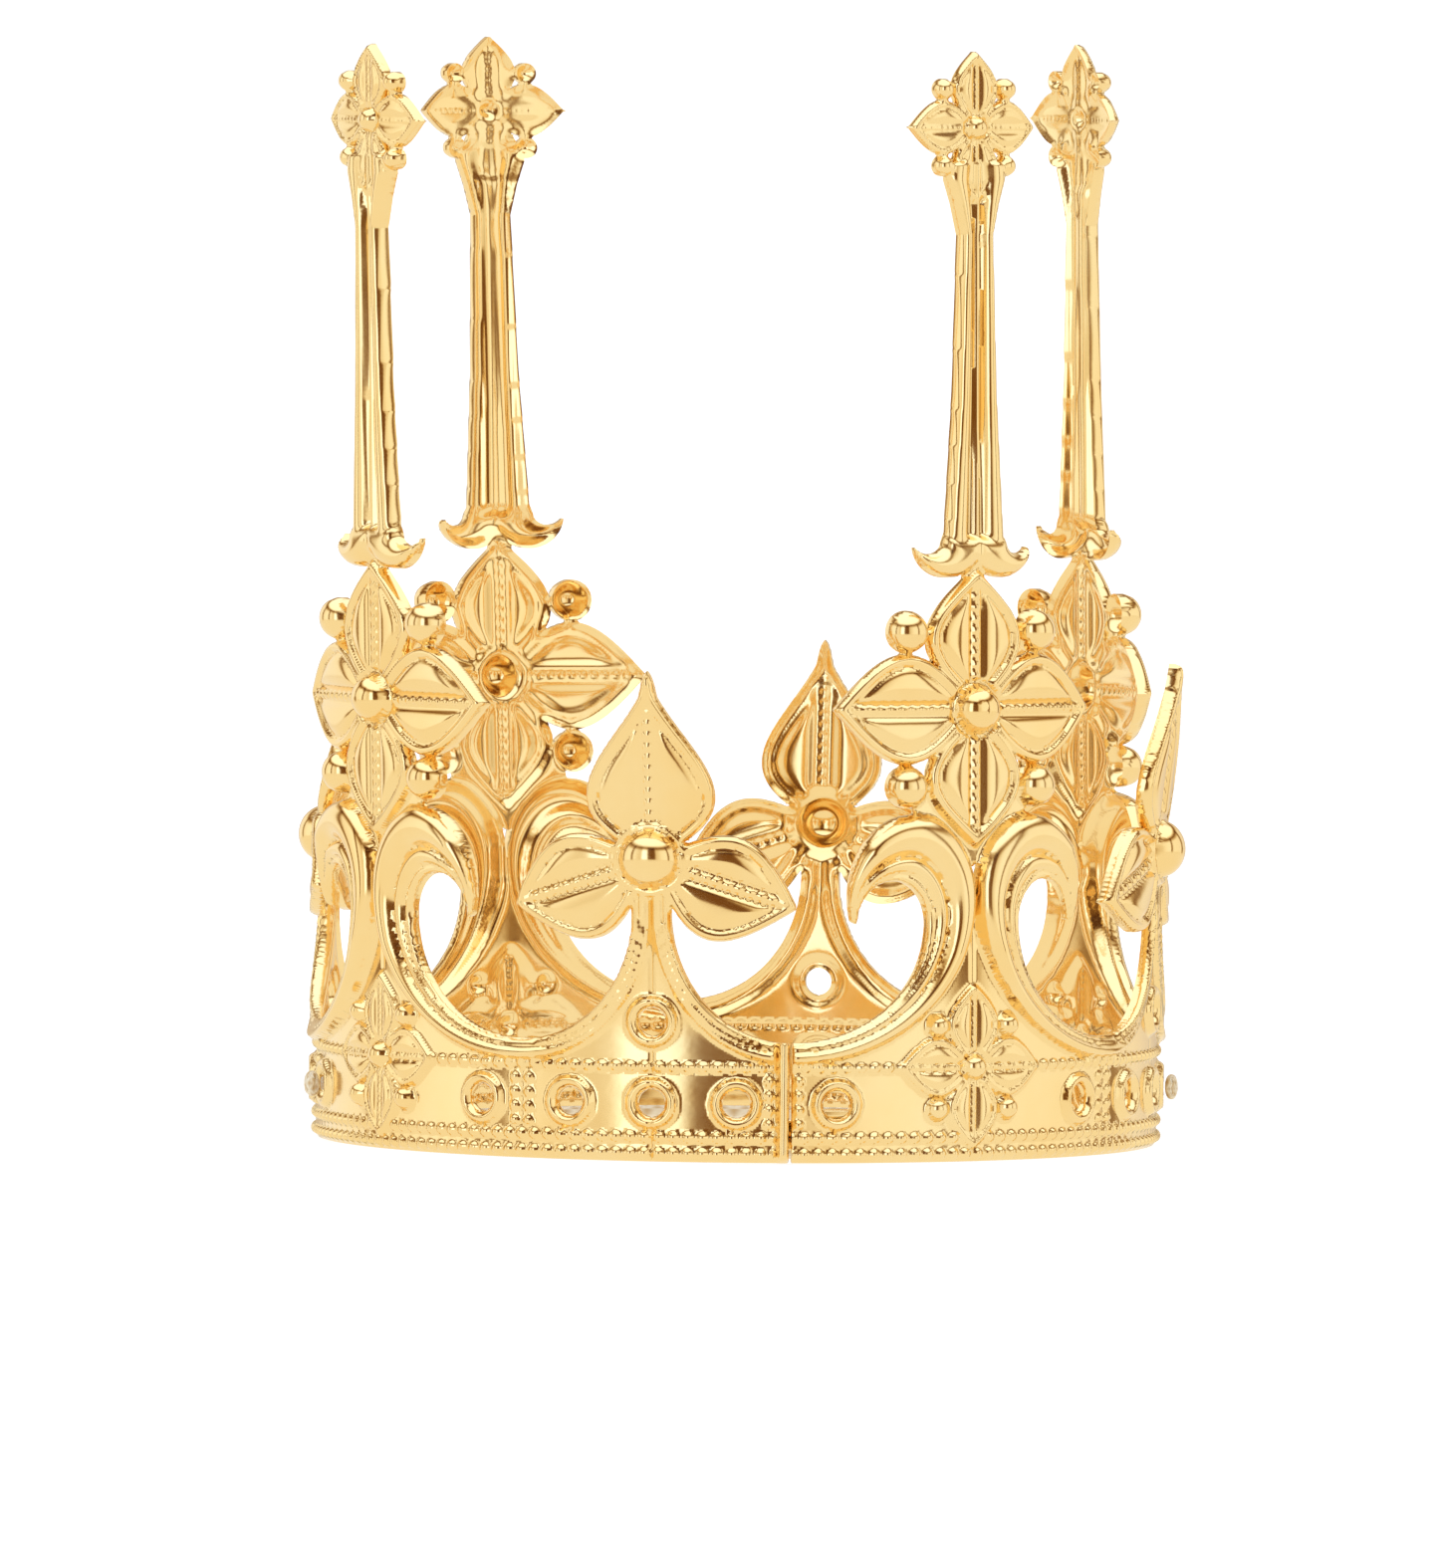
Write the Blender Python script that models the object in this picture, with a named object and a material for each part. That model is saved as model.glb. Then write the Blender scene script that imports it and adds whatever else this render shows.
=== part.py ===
"""Mini party crown: two thin moulded half shells that slip together at the front and back seams,
with a round chin elastic knotted through one band hole of each half.

Frame: origin at the centre of the base, +Z up, front seam on -Y, left half on the -X side.
Each half shell is drawn flat, panel by panel, in (s, z) with s measured round the band, and is then
wrapped onto the band's cylinder. Flat drawings are in millimetres; finished objects are in metres.
"""

import math

import bmesh
import bpy
from mathutils import Matrix, Vector

MM = 0.001

# ---- Band and wall (mm, degrees) ----
BAND_RADIUS = 44.5  # outer face of the band's wall
WALL = 0.9
BAND_HEIGHT = 12.5  # lowest point of the openings between towers and trefoils
TREFOIL_ANGLE = 37.5  # width of a trefoil panel round the band
SEAM_GAP = 0.3
PANEL_OVERLAP = 0.4  # a trefoil panel's ridges run this far into their neighbours
FACET_ANGLE = 7.5  # the wrapped wall is faceted at this step

# ---- Relief heights above the band's face (mm) ----
RAIL_RELIEF = 0.4
RING_RELIEF = 0.5
SCROLL_RELIEF = 0.8
STRIP_RELIEF = 0.9
COLLAR_RELIEF = 1.3
PETAL_RELIEF = 1.0
FLUKE_RELIEF = 0.9
STEM_RELIEF = 0.6
THROAT_RECESS = 0.1
TREFOIL_BOSS_SHARE = 0.42  # how far a boss stands out of its petals, over its diameter
FLOWER_BOSS_SHARE = 0.35

# ---- Beaded rails and the seam strip (mm) ----
FOOT_RAIL_TOP = 3.2
TOP_RAIL_DROP = 2.6  # its middle below the openings' lowest point
TOP_RAIL_HEIGHT = 1.2
SEAM_STRIP_WIDTH = 1.3

# ---- Ringed holes (mm) ----
HOLE_HEIGHT = 6.0
HOLE_DIAMETER = 2.9
RING_DIAMETER = 5.2
TREFOIL_HOLE_PITCH = 8.9
TOWER_HOLE_OFFSET = 15.5
UPPER_HOLE_HEIGHT = 14.6

# ---- Scrolls that carry the openings (mm) ----
SCROLL_BAND = 2.2  # height of the ridge where it crosses from panel to panel
TREFOIL_STEM_WIDTH = 4.1
TREFOIL_STEM_TOP = 26.0
CURL_TOP = 36.3
CURL_REACH = 14.5
CURL_MIDDLE = 27.8
EYE_MIDDLE = 25.0
EYE_NEAR = 5.7
EYE_FAR = 13.4
EYE_HEIGHT = 4.4
THROAT_WIDTH = 11.0  # web that carries the flower between the two curls
THROAT_RISE = 3.2  # it runs this far above the curls
CENTRE_RELIEF_GAP = 0.25  # half the groove between the two scrolls of a tower

# ---- Trefoil (mm, degrees) ----
TREFOIL_CENTRE = 31.6
TREFOIL_BOSS = 6.3
TREFOIL_COLLAR = 7.4
TOP_PETAL_LENGTH = 19.6
TOP_PETAL_WIDTH = 13.0
TOP_PETAL_TIP = 1.1
SIDE_PETAL_LENGTH = 15.8
SIDE_PETAL_WIDTH = 11.2
SIDE_PETAL_TIP = 1.0
SIDE_PETAL_DROOP = 18.5

# ---- Tower (mm, degrees) ----
FLOWER_CENTRE = 47.3
FLOWER_REACH = 16.2
FLOWER_LOWER_REACH = 14.4
BAND_FLOWER_CENTRE = 9.9
BAND_FLOWER_REACH = 8.6
HEAD_CENTRE = 108.0
HEAD_REACH = 8.0
PETAL_WIDTH_SHARE = 0.71  # petal width over petal length
BALL_OFFSET_SHARE = 0.465
BALL_DIAMETER_SHARE = 0.29
BOSS_DIAMETER_SHARE = 0.32
FLUKE_REACH = 7.3
FLUKE_NOTCH = 1.7
FLUKE_LOW_RISE = 13.7  # heights above the flower's centre
FLUKE_TIP_RISE = 17.1
STEM_FOOT_RISE = 15.2
STEM_FOOT_WIDTH = 7.0
NECK_DROP = 11.2  # depths below the head's centre
NECK_WIDTH = 4.0
FLARE_DROP = 5.4
FLARE_WIDTH = 7.4

# ---- Leans (degrees) ----
# Outward lean from the band and further bend above BEND_HEIGHT, panel by panel round a half from its
# s = 0: trefoil, tower, trefoil, tower. A worn crown's panels aren't upright.
BEND_HEIGHT = 33.0
PANEL_SETS_LEFT = ((5.0, 6.0), (1.6, 0.0), (-1.4, -14.0), (3.6, 0.0))
PANEL_SETS_RIGHT = ((0.9, 4.0), (-1.1, 0.0), (0.1, 8.0), (-0.9, 0.0))

# ---- Slip joint inside each seam (mm) ----
TONGUE_LENGTH = 8.0
TONGUE_HEIGHT = 3.2
TONGUE_THICKNESS = 1.0
TONGUE_ROOT = 7.0
SLIP_CLEARANCE = 0.3
SLEEVE_WALL = 0.8
SLEEVE_LENGTH = 7.0
SLEEVE_LIFT = 0.1
FITTING_INSET = 0.3  # the fittings stop this far short of a seam's edge

# ---- Chin elastic (mm) ----
ELASTIC_DIAMETER = 1.4
KNOT_DIAMETER = 3.0
KNOT_THICKNESS = 1.6
CORD_GAP = 0.3
ELASTIC_POINTS = 78

# Route of the elastic from the left hole to the right one, as (angle from the front seam towards +X
# in degrees, depth inside the band's outer face, height): in through the left hole, down to the
# surface, one and a half turns along the foot of the wall, and up and out through the right hole.
ELASTIC_ROUTE = [
    (-83.75, -0.5, 6.0),
    (-83.75, 2.9, 6.0),
    (-81.0, 5.9, 5.2),
    (-72.0, 7.5, 2.6),
    (-58.0, 7.9, 0.95),
    (-35.0, 8.0, 0.8),
    (-5.0, 7.8, 0.8),
    (30.0, 8.1, 0.8),
    (65.0, 7.9, 0.8),
    (100.0, 8.0, 0.8),
    (140.0, 7.8, 0.8),
    (180.0, 7.9, 0.8),
    (215.0, 7.3, 0.8),
    (245.0, 6.1, 0.8),
    (276.0, 5.6, 0.8),
    (310.0, 5.6, 0.8),
    (345.0, 5.9, 0.8),
    (380.0, 5.7, 0.8),
    (410.0, 5.6, 0.95),
    (427.0, 5.3, 2.2),
    (437.5, 4.5, 4.8),
    (442.25, 2.5, 6.0),
    (442.25, -0.5, 6.0),
]

TOWER_ANGLE = 90.0 - TREFOIL_ANGLE
INNER_RADIUS = BAND_RADIUS - WALL
TREFOIL_HALF = math.radians(TREFOIL_ANGLE / 2) * BAND_RADIUS
TOWER_HALF = math.radians(TOWER_ANGLE / 2) * BAND_RADIUS

TOP_RAIL_CENTRE = BAND_HEIGHT - TOP_RAIL_DROP
THROAT_TOP = CURL_TOP + THROAT_RISE
FLUKE_LOW = FLOWER_CENTRE + FLUKE_LOW_RISE
FLUKE_TIP = FLOWER_CENTRE + FLUKE_TIP_RISE
STEM_FOOT = FLOWER_CENTRE + STEM_FOOT_RISE
NECK_HEIGHT = HEAD_CENTRE - NECK_DROP
FLARE_HEIGHT = HEAD_CENTRE - FLARE_DROP

BODY_DEPTH = -WALL  # the back of every relief, flush with the wall's inner face
EMBED = WALL / 2  # how far a boss or ball is sunk into the wall


def clear_scene():
    for obj in list(bpy.data.objects):
        bpy.data.objects.remove(obj)


def make_material(name, color, roughness, metallic):
    material = bpy.data.materials.new(name)
    material.use_nodes = True
    shader = material.node_tree.nodes["Principled BSDF"]
    shader.inputs["Base Color"].default_value = (*color, 1.0)
    shader.inputs["Roughness"].default_value = roughness
    shader.inputs["Metallic"].default_value = metallic
    material.diffuse_color = (*color, 1.0)
    return material


# ---- Flat outlines, as lists of (s, z) ----


def arc(centre, radii, start, stop, steps):
    """Points on an ellipse from one angle to another, in degrees from +s towards +z."""
    points = []
    for step in range(steps + 1):
        angle = math.radians(start + (stop - start) * step / steps)
        s = centre[0] + radii[0] * math.cos(angle)
        z = centre[1] + radii[1] * math.sin(angle)
        points.append((s, z))
    return points


def mirrored(points):
    return [(-s, z) for s, z in reversed(points)]


def moved(points, offset, turn=0.0):
    """Turns an outline about its origin by an angle in degrees, then moves it."""
    cosine = math.cos(math.radians(turn))
    sine = math.sin(math.radians(turn))
    return [
        (offset[0] + s * cosine - z * sine, offset[1] + s * sine + z * cosine)
        for s, z in points
    ]


def rectangle(s0, s1, z0, z1):
    return [(s0, z0), (s1, z0), (s1, z1), (s0, z1)]


def petal_outline(length, width, tip_width=0.5, skew=1.0, fullness=1.0, steps=7):
    """A pointed petal along +z from its root just below the origin."""
    side = []
    for step in range(1, steps + 1):
        share = step / steps
        swell = math.sin(math.pi * share**skew) ** fullness
        half = max(width / 2 * swell, tip_width / 2)
        side.append((half, length * share))
    return [(0.0, -length / 20)] + side + mirrored(side)


def disc(centre, diameter, steps=12):
    radius = diameter / 2
    return arc(centre, (radius, radius), 0, 360 * (steps - 1) / steps, steps - 1)


def trefoil_edge():
    """Upper edge of a trefoil panel's foot, from its boundary in to the stem."""
    radii = (TREFOIL_HALF - TREFOIL_STEM_WIDTH / 2, TREFOIL_STEM_TOP - BAND_HEIGHT)
    return arc((TREFOIL_HALF, TREFOIL_STEM_TOP), radii, 270, 180, 7)


def eye_edge():
    """Inner edge of a tower's scroll, from the panel boundary round the eye to the curl's tip."""
    lower_radii = (TOWER_HALF - EYE_NEAR, EYE_MIDDLE - BAND_HEIGHT)
    lower = arc((TOWER_HALF, EYE_MIDDLE), lower_radii, 270, 180, 7)
    eye_centre = ((EYE_NEAR + EYE_FAR) / 2, EYE_MIDDLE)
    upper = arc(eye_centre, ((EYE_FAR - EYE_NEAR) / 2, EYE_HEIGHT), 180, 0, 6)
    return lower + upper[1:]


def curl_edge(inner_limit):
    """Outer edge of a scroll's curl, from its tip over the top to the tower's middle."""
    half_reach = (CURL_REACH - inner_limit) / 2
    centre = (inner_limit + half_reach, CURL_MIDDLE)
    return arc(centre, (half_reach, CURL_TOP - CURL_MIDDLE), -14, 180, 11)


def scroll_outline():
    """The raised ridge of a tower's right scroll."""
    foot_radii = (
        TOWER_HALF - CENTRE_RELIEF_GAP,
        CURL_MIDDLE - BAND_HEIGHT + SCROLL_BAND,
    )
    foot = arc((TOWER_HALF, CURL_MIDDLE), foot_radii, 180, 270, 7)
    return eye_edge() + curl_edge(CENTRE_RELIEF_GAP) + foot[1:]


def trefoil_ridge_outline():
    """The raised ridge along the right edge of a trefoil panel's foot, up the stem."""
    top = TREFOIL_STEM_TOP
    radii = (TREFOIL_HALF - CENTRE_RELIEF_GAP, top - BAND_HEIGHT + SCROLL_BAND)
    lower = arc((TREFOIL_HALF, top), radii, 180, 270, 7)
    beyond = TREFOIL_HALF + PANEL_OVERLAP
    return [(beyond, BAND_HEIGHT)] + trefoil_edge() + lower + [(beyond, BAND_HEIGHT - SCROLL_BAND)]


def fluke_outline():
    """The right fluke of the crescent under a tower's stem."""
    middle = (FLUKE_REACH / 2 - 0.25, FLUKE_TIP)
    lower = arc(middle, (FLUKE_REACH - middle[0], FLUKE_TIP - FLUKE_LOW), 215, 355, 6)
    notch = FLUKE_REACH - FLUKE_NOTCH
    upper = arc((notch, FLUKE_TIP + 0.3), (FLUKE_NOTCH, 1.2), -12, -180, 4)
    root_top = FLUKE_TIP + 1.0
    root = [(notch - FLUKE_NOTCH - 0.3, root_top), (-0.4, root_top), (-0.4, lower[0][1])]
    return lower + upper + root


def stem_outline():
    """A stem that tapers to its neck and flares again under the head flower."""
    right = [
        (STEM_FOOT_WIDTH / 2 - 0.6, STEM_FOOT),
        (STEM_FOOT_WIDTH / 2, FLUKE_TIP + 1.0),
        (NECK_WIDTH / 2 + 0.55, (STEM_FOOT + NECK_HEIGHT) / 2),
        (NECK_WIDTH / 2, NECK_HEIGHT),
        (FLARE_WIDTH / 2 - 0.8, FLARE_HEIGHT - 2.0),
        (FLARE_WIDTH / 2, FLARE_HEIGHT),
        (FLARE_WIDTH / 2 - 0.6, FLARE_HEIGHT + 1.4),
    ]
    return right + mirrored(right)


# ---- Flat solids in (s, depth, z); depth is positive out of the wall, so y is its negative ----


def prism(outline, back, front):
    """A closed solid of the outline between two depths."""
    mesh = bmesh.new()
    ring = [mesh.verts.new((s, -back, z)) for s, z in outline]
    face = mesh.faces.new(ring)
    made = bmesh.ops.extrude_face_region(mesh, geom=[face])["geom"]
    shift = Vector((0.0, back - front, 0.0))
    bmesh.ops.translate(mesh, verts=[v for v in made if isinstance(v, bmesh.types.BMVert)], vec=shift)
    bmesh.ops.recalc_face_normals(mesh, faces=mesh.faces)
    return mesh


def dome(centre, diameter, height, segments=8, rings=2):
    """A round boss that stands out of the wall, on a stub sunk into it."""
    mesh = bmesh.new()
    radius = diameter / 2
    levels = [(radius, -EMBED)]
    for ring in range(rings):
        angle = math.pi / 2 * ring / rings
        levels.append((radius * math.cos(angle), height * math.sin(angle)))
    rows = []
    for level_radius, depth in levels:
        row = []
        for segment in range(segments):
            angle = 2 * math.pi * segment / segments
            s = centre[0] + level_radius * math.cos(angle)
            z = centre[1] + level_radius * math.sin(angle)
            row.append(mesh.verts.new((s, -depth, z)))
        rows.append(row)
    apex = mesh.verts.new((centre[0], -height, centre[1]))
    mesh.faces.new(rows[0])
    for lower, upper in zip(rows, rows[1:]):
        for a in range(segments):
            b = (a + 1) % segments
            mesh.faces.new((lower[a], lower[b], upper[b], upper[a]))
    for a in range(segments):
        mesh.faces.new((rows[-1][a], rows[-1][(a + 1) % segments], apex))
    bmesh.ops.recalc_face_normals(mesh, faces=mesh.faces)
    return mesh


def flower(centre_z, reach, lower_reach, petal_steps, ball_segments):
    """Four petals with balls between them and a boss in the middle."""
    pieces = []
    tip = 0.06 * reach
    for turn, length in ((0, reach), (90, reach), (180, lower_reach), (270, reach)):
        width = reach * PETAL_WIDTH_SHARE
        outline = petal_outline(length, width, tip_width=tip, steps=petal_steps)
        pieces.append(prism(moved(outline, (0.0, centre_z), turn), BODY_DEPTH, PETAL_RELIEF))
    offset = reach * BALL_OFFSET_SHARE
    ball = reach * BALL_DIAMETER_SHARE
    for across, up in ((1, 1), (-1, 1), (-1, -1), (1, -1)):
        place = (across * offset, centre_z + up * offset)
        pieces.append(dome(place, ball, ball / 2, ball_segments))
    boss = reach * BOSS_DIAMETER_SHARE
    pieces.append(dome((0.0, centre_z), boss, PETAL_RELIEF + boss * FLOWER_BOSS_SHARE, ball_segments))
    return pieces


def trefoil_panel():
    """(top edge from right to left, relief, hole centres) of a trefoil panel, its middle at s = 0."""
    right = trefoil_edge() + [(TREFOIL_STEM_WIDTH / 2, TREFOIL_CENTRE)]
    top = right + mirrored(right)
    ridge = trefoil_ridge_outline()
    pieces = [prism(outline, -EMBED, SCROLL_RELIEF) for outline in (ridge, mirrored(ridge))]
    top_petal = petal_outline(
        TOP_PETAL_LENGTH, TOP_PETAL_WIDTH, TOP_PETAL_TIP, skew=0.63, fullness=1.5, steps=9
    )
    centre = (0.0, TREFOIL_CENTRE)
    pieces.append(prism(moved(top_petal, centre), BODY_DEPTH, PETAL_RELIEF))
    side_petal = petal_outline(SIDE_PETAL_LENGTH, SIDE_PETAL_WIDTH, SIDE_PETAL_TIP)
    for turn in (90 + SIDE_PETAL_DROOP, -90 - SIDE_PETAL_DROOP):
        pieces.append(prism(moved(side_petal, centre, turn), BODY_DEPTH, PETAL_RELIEF))
    pieces.append(prism(disc(centre, TREFOIL_COLLAR), BODY_DEPTH, COLLAR_RELIEF))
    boss_height = PETAL_RELIEF + TREFOIL_BOSS * TREFOIL_BOSS_SHARE
    pieces.append(dome(centre, TREFOIL_BOSS, boss_height, 12, 3))
    holes = [(step * TREFOIL_HOLE_PITCH, HOLE_HEIGHT) for step in (-1, 0, 1)]
    holes.append((0.0, UPPER_HOLE_HEIGHT))
    return top, pieces, holes


def tower_panel():
    """(top edge from right to left, relief, hole centres) of a tower panel, its middle at s = 0."""
    right = eye_edge() + curl_edge(0.0)[:-2]
    top = right + mirrored(right)
    throat = [(0.0, CURL_MIDDLE + 2.0), (CURL_REACH / 2, CURL_TOP - 0.4), (THROAT_WIDTH / 2, THROAT_TOP)]
    pieces = [prism(throat + mirrored(throat)[:-1], BODY_DEPTH, -THROAT_RECESS)]
    scroll = scroll_outline()
    pieces += [prism(outline, -EMBED, SCROLL_RELIEF) for outline in (scroll, mirrored(scroll))]
    pieces += flower(BAND_FLOWER_CENTRE, BAND_FLOWER_REACH, BAND_FLOWER_REACH, 5, 6)
    pieces += flower(FLOWER_CENTRE, FLOWER_REACH, FLOWER_LOWER_REACH, 7, 10)
    pieces += flower(HEAD_CENTRE, HEAD_REACH, HEAD_REACH, 5, 6)
    fluke = fluke_outline()
    pieces.append(prism(fluke, BODY_DEPTH, FLUKE_RELIEF))
    pieces.append(prism(mirrored(fluke), BODY_DEPTH, FLUKE_RELIEF))
    pieces.append(prism(stem_outline(), BODY_DEPTH, STEM_RELIEF))
    holes = [(side * TOWER_HOLE_OFFSET, HOLE_HEIGHT) for side in (-1, 1)]
    return top, pieces, holes


def band_rails(length):
    """The two beaded rails of a whole half and the strip down its end at s = 0."""
    middle = TOP_RAIL_CENTRE
    reach = TOP_RAIL_HEIGHT / 2
    strip = rectangle(-SEAM_STRIP_WIDTH, 0.0, 0.0, BAND_HEIGHT)
    return [
        prism(rectangle(-length, 0.0, 0.0, FOOT_RAIL_TOP), -EMBED, RAIL_RELIEF),
        prism(rectangle(-length, 0.0, middle - reach, middle + reach), -EMBED, RAIL_RELIEF),
        prism(strip, -EMBED, STRIP_RELIEF),
    ]


def end_trims(length):
    """Blocks that cut the band back at both ends, so that two halves meet with a gap."""
    trim = SEAM_GAP / 2
    beyond = 6.0
    top = BAND_HEIGHT + SCROLL_BAND
    deep = 9.0
    front = rectangle(-trim, beyond, -1.0, top)
    back = rectangle(-length - beyond, trim - length, -1.0, top)
    return [prism(outline, -deep, deep) for outline in (front, back)]


# ---- Booleans and wrapping ----


def object_from(mesh, name):
    data = bpy.data.meshes.new(name)
    mesh.to_mesh(data)
    mesh.free()
    obj = bpy.data.objects.new(name, data)
    bpy.context.scene.collection.objects.link(obj)
    return obj


def combine(base, others, operation):
    """Applies one Boolean per piece and removes the pieces."""
    for other in others:
        modifier = base.modifiers.new("combine", "BOOLEAN")
        modifier.operation = operation
        modifier.solver = "MANIFOLD"
        modifier.object = other
    depsgraph = bpy.context.evaluated_depsgraph_get()
    data = bpy.data.meshes.new_from_object(base.evaluated_get(depsgraph))
    base.modifiers.clear()
    base.data = data
    for other in others:
        bpy.data.objects.remove(other)


def lean_at(height, lean, bend):
    """How far outwards a panel with this lean and bend stands at a height."""
    leaning = max(height - BAND_HEIGHT, 0.0) * math.tan(math.radians(lean))
    bending = max(height - BEND_HEIGHT, 0.0) * math.tan(math.radians(bend))
    return leaning + bending


def cut_along(mesh, place, normal):
    """Adds the edges where a plane crosses the mesh, so that the surface can fold there."""
    geometry = mesh.verts[:] + mesh.edges[:] + mesh.faces[:]
    bmesh.ops.bisect_plane(mesh, geom=geometry, plane_co=place, plane_no=normal, dist=0.0005)


def flat_half(name):
    """(solid, far ends of its panels): a whole half drawn flat, running from s = 0 to minus its length."""
    top, reliefs, rings, cutters, ends = [], [], [], [], []
    start = 0.0
    for make_panel, half in 2 * [(trefoil_panel, TREFOIL_HALF), (tower_panel, TOWER_HALF)]:
        edge, pieces, holes = make_panel()
        middle = start - half
        top += moved(edge, (middle, 0.0))[:-1]
        relief = [object_from(piece, f"{name}_relief") for piece in pieces]
        combine(relief[0], relief[1:], "UNION")
        relief[0].data.transform(Matrix.Translation((middle, 0.0, 0.0)))
        reliefs.append(relief[0])
        for hole in moved(holes, (middle, 0.0)):
            ring = prism(disc(hole, RING_DIAMETER), -EMBED, RING_RELIEF)
            rings.append(object_from(ring, f"{name}_ring"))
            cutter = prism(disc(hole, HOLE_DIAMETER), -2 * WALL, 2 * WALL)
            cutters.append(object_from(cutter, f"{name}_cutter"))
        start = middle - half
        ends.append(start)
    outline = [(0.0, 0.0)] + top + [(start, BAND_HEIGHT), (start, 0.0)]
    shell = object_from(prism(outline, BODY_DEPTH, 0.0), name)
    rails = [object_from(rail, f"{name}_rail") for rail in band_rails(-start)]
    combine(shell, reliefs + rails + rings, "UNION")
    cutters += [object_from(trim, f"{name}_trim") for trim in end_trims(-start)]
    combine(shell, cutters, "DIFFERENCE")
    return shell, ends


def wrap(obj, panel_sets):
    """Wraps a flat half onto the cylinder; panel_sets holds (far end, lean, bend) per panel."""
    mesh = bmesh.new()
    mesh.from_mesh(obj.data)
    bmesh.ops.remove_doubles(mesh, verts=mesh.verts, dist=0.002)
    flat_angle = math.radians(0.05)
    bmesh.ops.dissolve_limit(mesh, angle_limit=flat_angle, verts=mesh.verts, edges=mesh.edges)
    loose = [edge for edge in mesh.edges if not edge.link_faces]
    bmesh.ops.delete(mesh, geom=loose, context="EDGES")
    facet = math.radians(FACET_ANGLE) * BAND_RADIUS
    count = int(round(math.pi * BAND_RADIUS / facet))
    for step in range(1, count):
        cut_along(mesh, (-step * facet, 0.0, 0.0), (1.0, 0.0, 0.0))
    for height in (BAND_HEIGHT, BEND_HEIGHT):
        cut_along(mesh, (0.0, 0.0, height), (0.0, 0.0, 1.0))
    bmesh.ops.triangulate(mesh, faces=mesh.faces[:])
    for vert in mesh.verts:
        s, y, z = vert.co
        lean, bend = next((lean, bend) for end, lean, bend in panel_sets if s >= end)
        radius = BAND_RADIUS - y + lean_at(z, lean, bend)
        angle = s / BAND_RADIUS
        vert.co = (radius * math.sin(angle) * MM, -radius * math.cos(angle) * MM, z * MM)
    mesh.to_mesh(obj.data)
    mesh.free()


def box(name, low, high):
    mesh = bmesh.new()
    bmesh.ops.create_cube(mesh, size=1.0)
    size = [(b - a) * MM for a, b in zip(low, high)]
    centre = [(a + b) / 2 * MM for a, b in zip(low, high)]
    bmesh.ops.scale(mesh, vec=size, verts=mesh.verts)
    bmesh.ops.translate(mesh, vec=centre, verts=mesh.verts)
    return object_from(mesh, name)


def tongue_face():
    """Distance of the tongue's outer face from the axis plane, clear of the curved wall at its tip."""
    return math.sqrt(INNER_RADIUS**2 - TONGUE_LENGTH**2) - SLIP_CLEARANCE


def tongue_floor():
    return SLEEVE_LIFT + SLEEVE_WALL + SLIP_CLEARANCE


def tongue_pieces():
    """The straight tongue that runs past the front seam, and the foot that joins it to the wall."""
    outer = tongue_face()
    inner = outer - TONGUE_THICKNESS
    low = tongue_floor()
    high = low + TONGUE_HEIGHT
    wall_bite = INNER_RADIUS + WALL / 4
    root = -TONGUE_ROOT
    foot_end = -3 * FITTING_INSET
    return [
        box("tongue", (root, -outer, low), (TONGUE_LENGTH, -inner, high)),
        box("tongue_foot", (root + 0.2, -wall_bite, low + 0.1), (foot_end, -inner - 0.2, high - 0.1)),
    ]


def sleeve_pieces():
    """Two rails and a back that hold the other half's tongue against the wall, at the back seam."""
    back = tongue_face() - TONGUE_THICKNESS - SLIP_CLEARANCE
    low = tongue_floor() - SLIP_CLEARANCE
    high = low + TONGUE_HEIGHT + 2 * SLIP_CLEARANCE
    near = -SEAM_GAP - FITTING_INSET
    far = near - SLEEVE_LENGTH
    bite = INNER_RADIUS + WALL / 6
    inner = back - SLEEVE_WALL
    step = 0.1
    floor = low - SLEEVE_WALL
    roof = high + SLEEVE_WALL
    return [
        box("sleeve_back", (far, inner, floor), (near, back, roof)),
        box("sleeve_floor", (far + step, inner + step, floor + step), (near - step, bite, low)),
        box("sleeve_roof", (far + step, inner + step, high), (near - step, bite, roof - step)),
    ]


def half_shell(name, panel_sets, material):
    """The left half, from the front seam at s = 0 round the -X side to the back seam."""
    shell, ends = flat_half(name)
    slack = 0.01
    wrap(shell, [(end - slack, lean, bend) for end, (lean, bend) in zip(ends, panel_sets)])
    combine(shell, tongue_pieces() + sleeve_pieces(), "UNION")
    shell.data.name = name
    shell.data.materials.clear()
    shell.data.materials.append(material)
    return shell


# ---- Elastic ----


def catmull_rom(points, share):
    """A point at a share of the way along a smooth curve through the points."""
    span = share * (len(points) - 1)
    index = min(int(span), len(points) - 2)
    t = span - index
    p1, p2 = points[index], points[index + 1]
    p0 = points[index - 1] if index > 0 else 2 * p1 - p2
    p3 = points[index + 2] if index + 2 < len(points) else 2 * p2 - p1
    return 0.5 * (
        2 * p1 + (p2 - p0) * t + (2 * p0 - 5 * p1 + 4 * p2 - p3) * t**2 + (3 * p1 - p0 - 3 * p2 + p3) * t**3
    )


def even_points(points, count, fine=40):
    """Points at even distances along the smooth curve through the route."""
    dense = [catmull_rom(points, i / (fine * len(points))) for i in range(fine * len(points) + 1)]
    travelled = [0.0]
    for a, b in zip(dense, dense[1:]):
        travelled.append(travelled[-1] + (b - a).length)
    result = []
    index = 0
    for step in range(count):
        target = travelled[-1] * step / (count - 1)
        while index < len(dense) - 2 and travelled[index + 1] < target:
            index += 1
        part = (target - travelled[index]) / (travelled[index + 1] - travelled[index])
        result.append(dense[index].lerp(dense[index + 1], part))
    return result


def on_band(angle, radius, height):
    turn = math.radians(angle)
    return Vector((radius * math.sin(turn), -radius * math.cos(turn), height)) * MM


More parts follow.
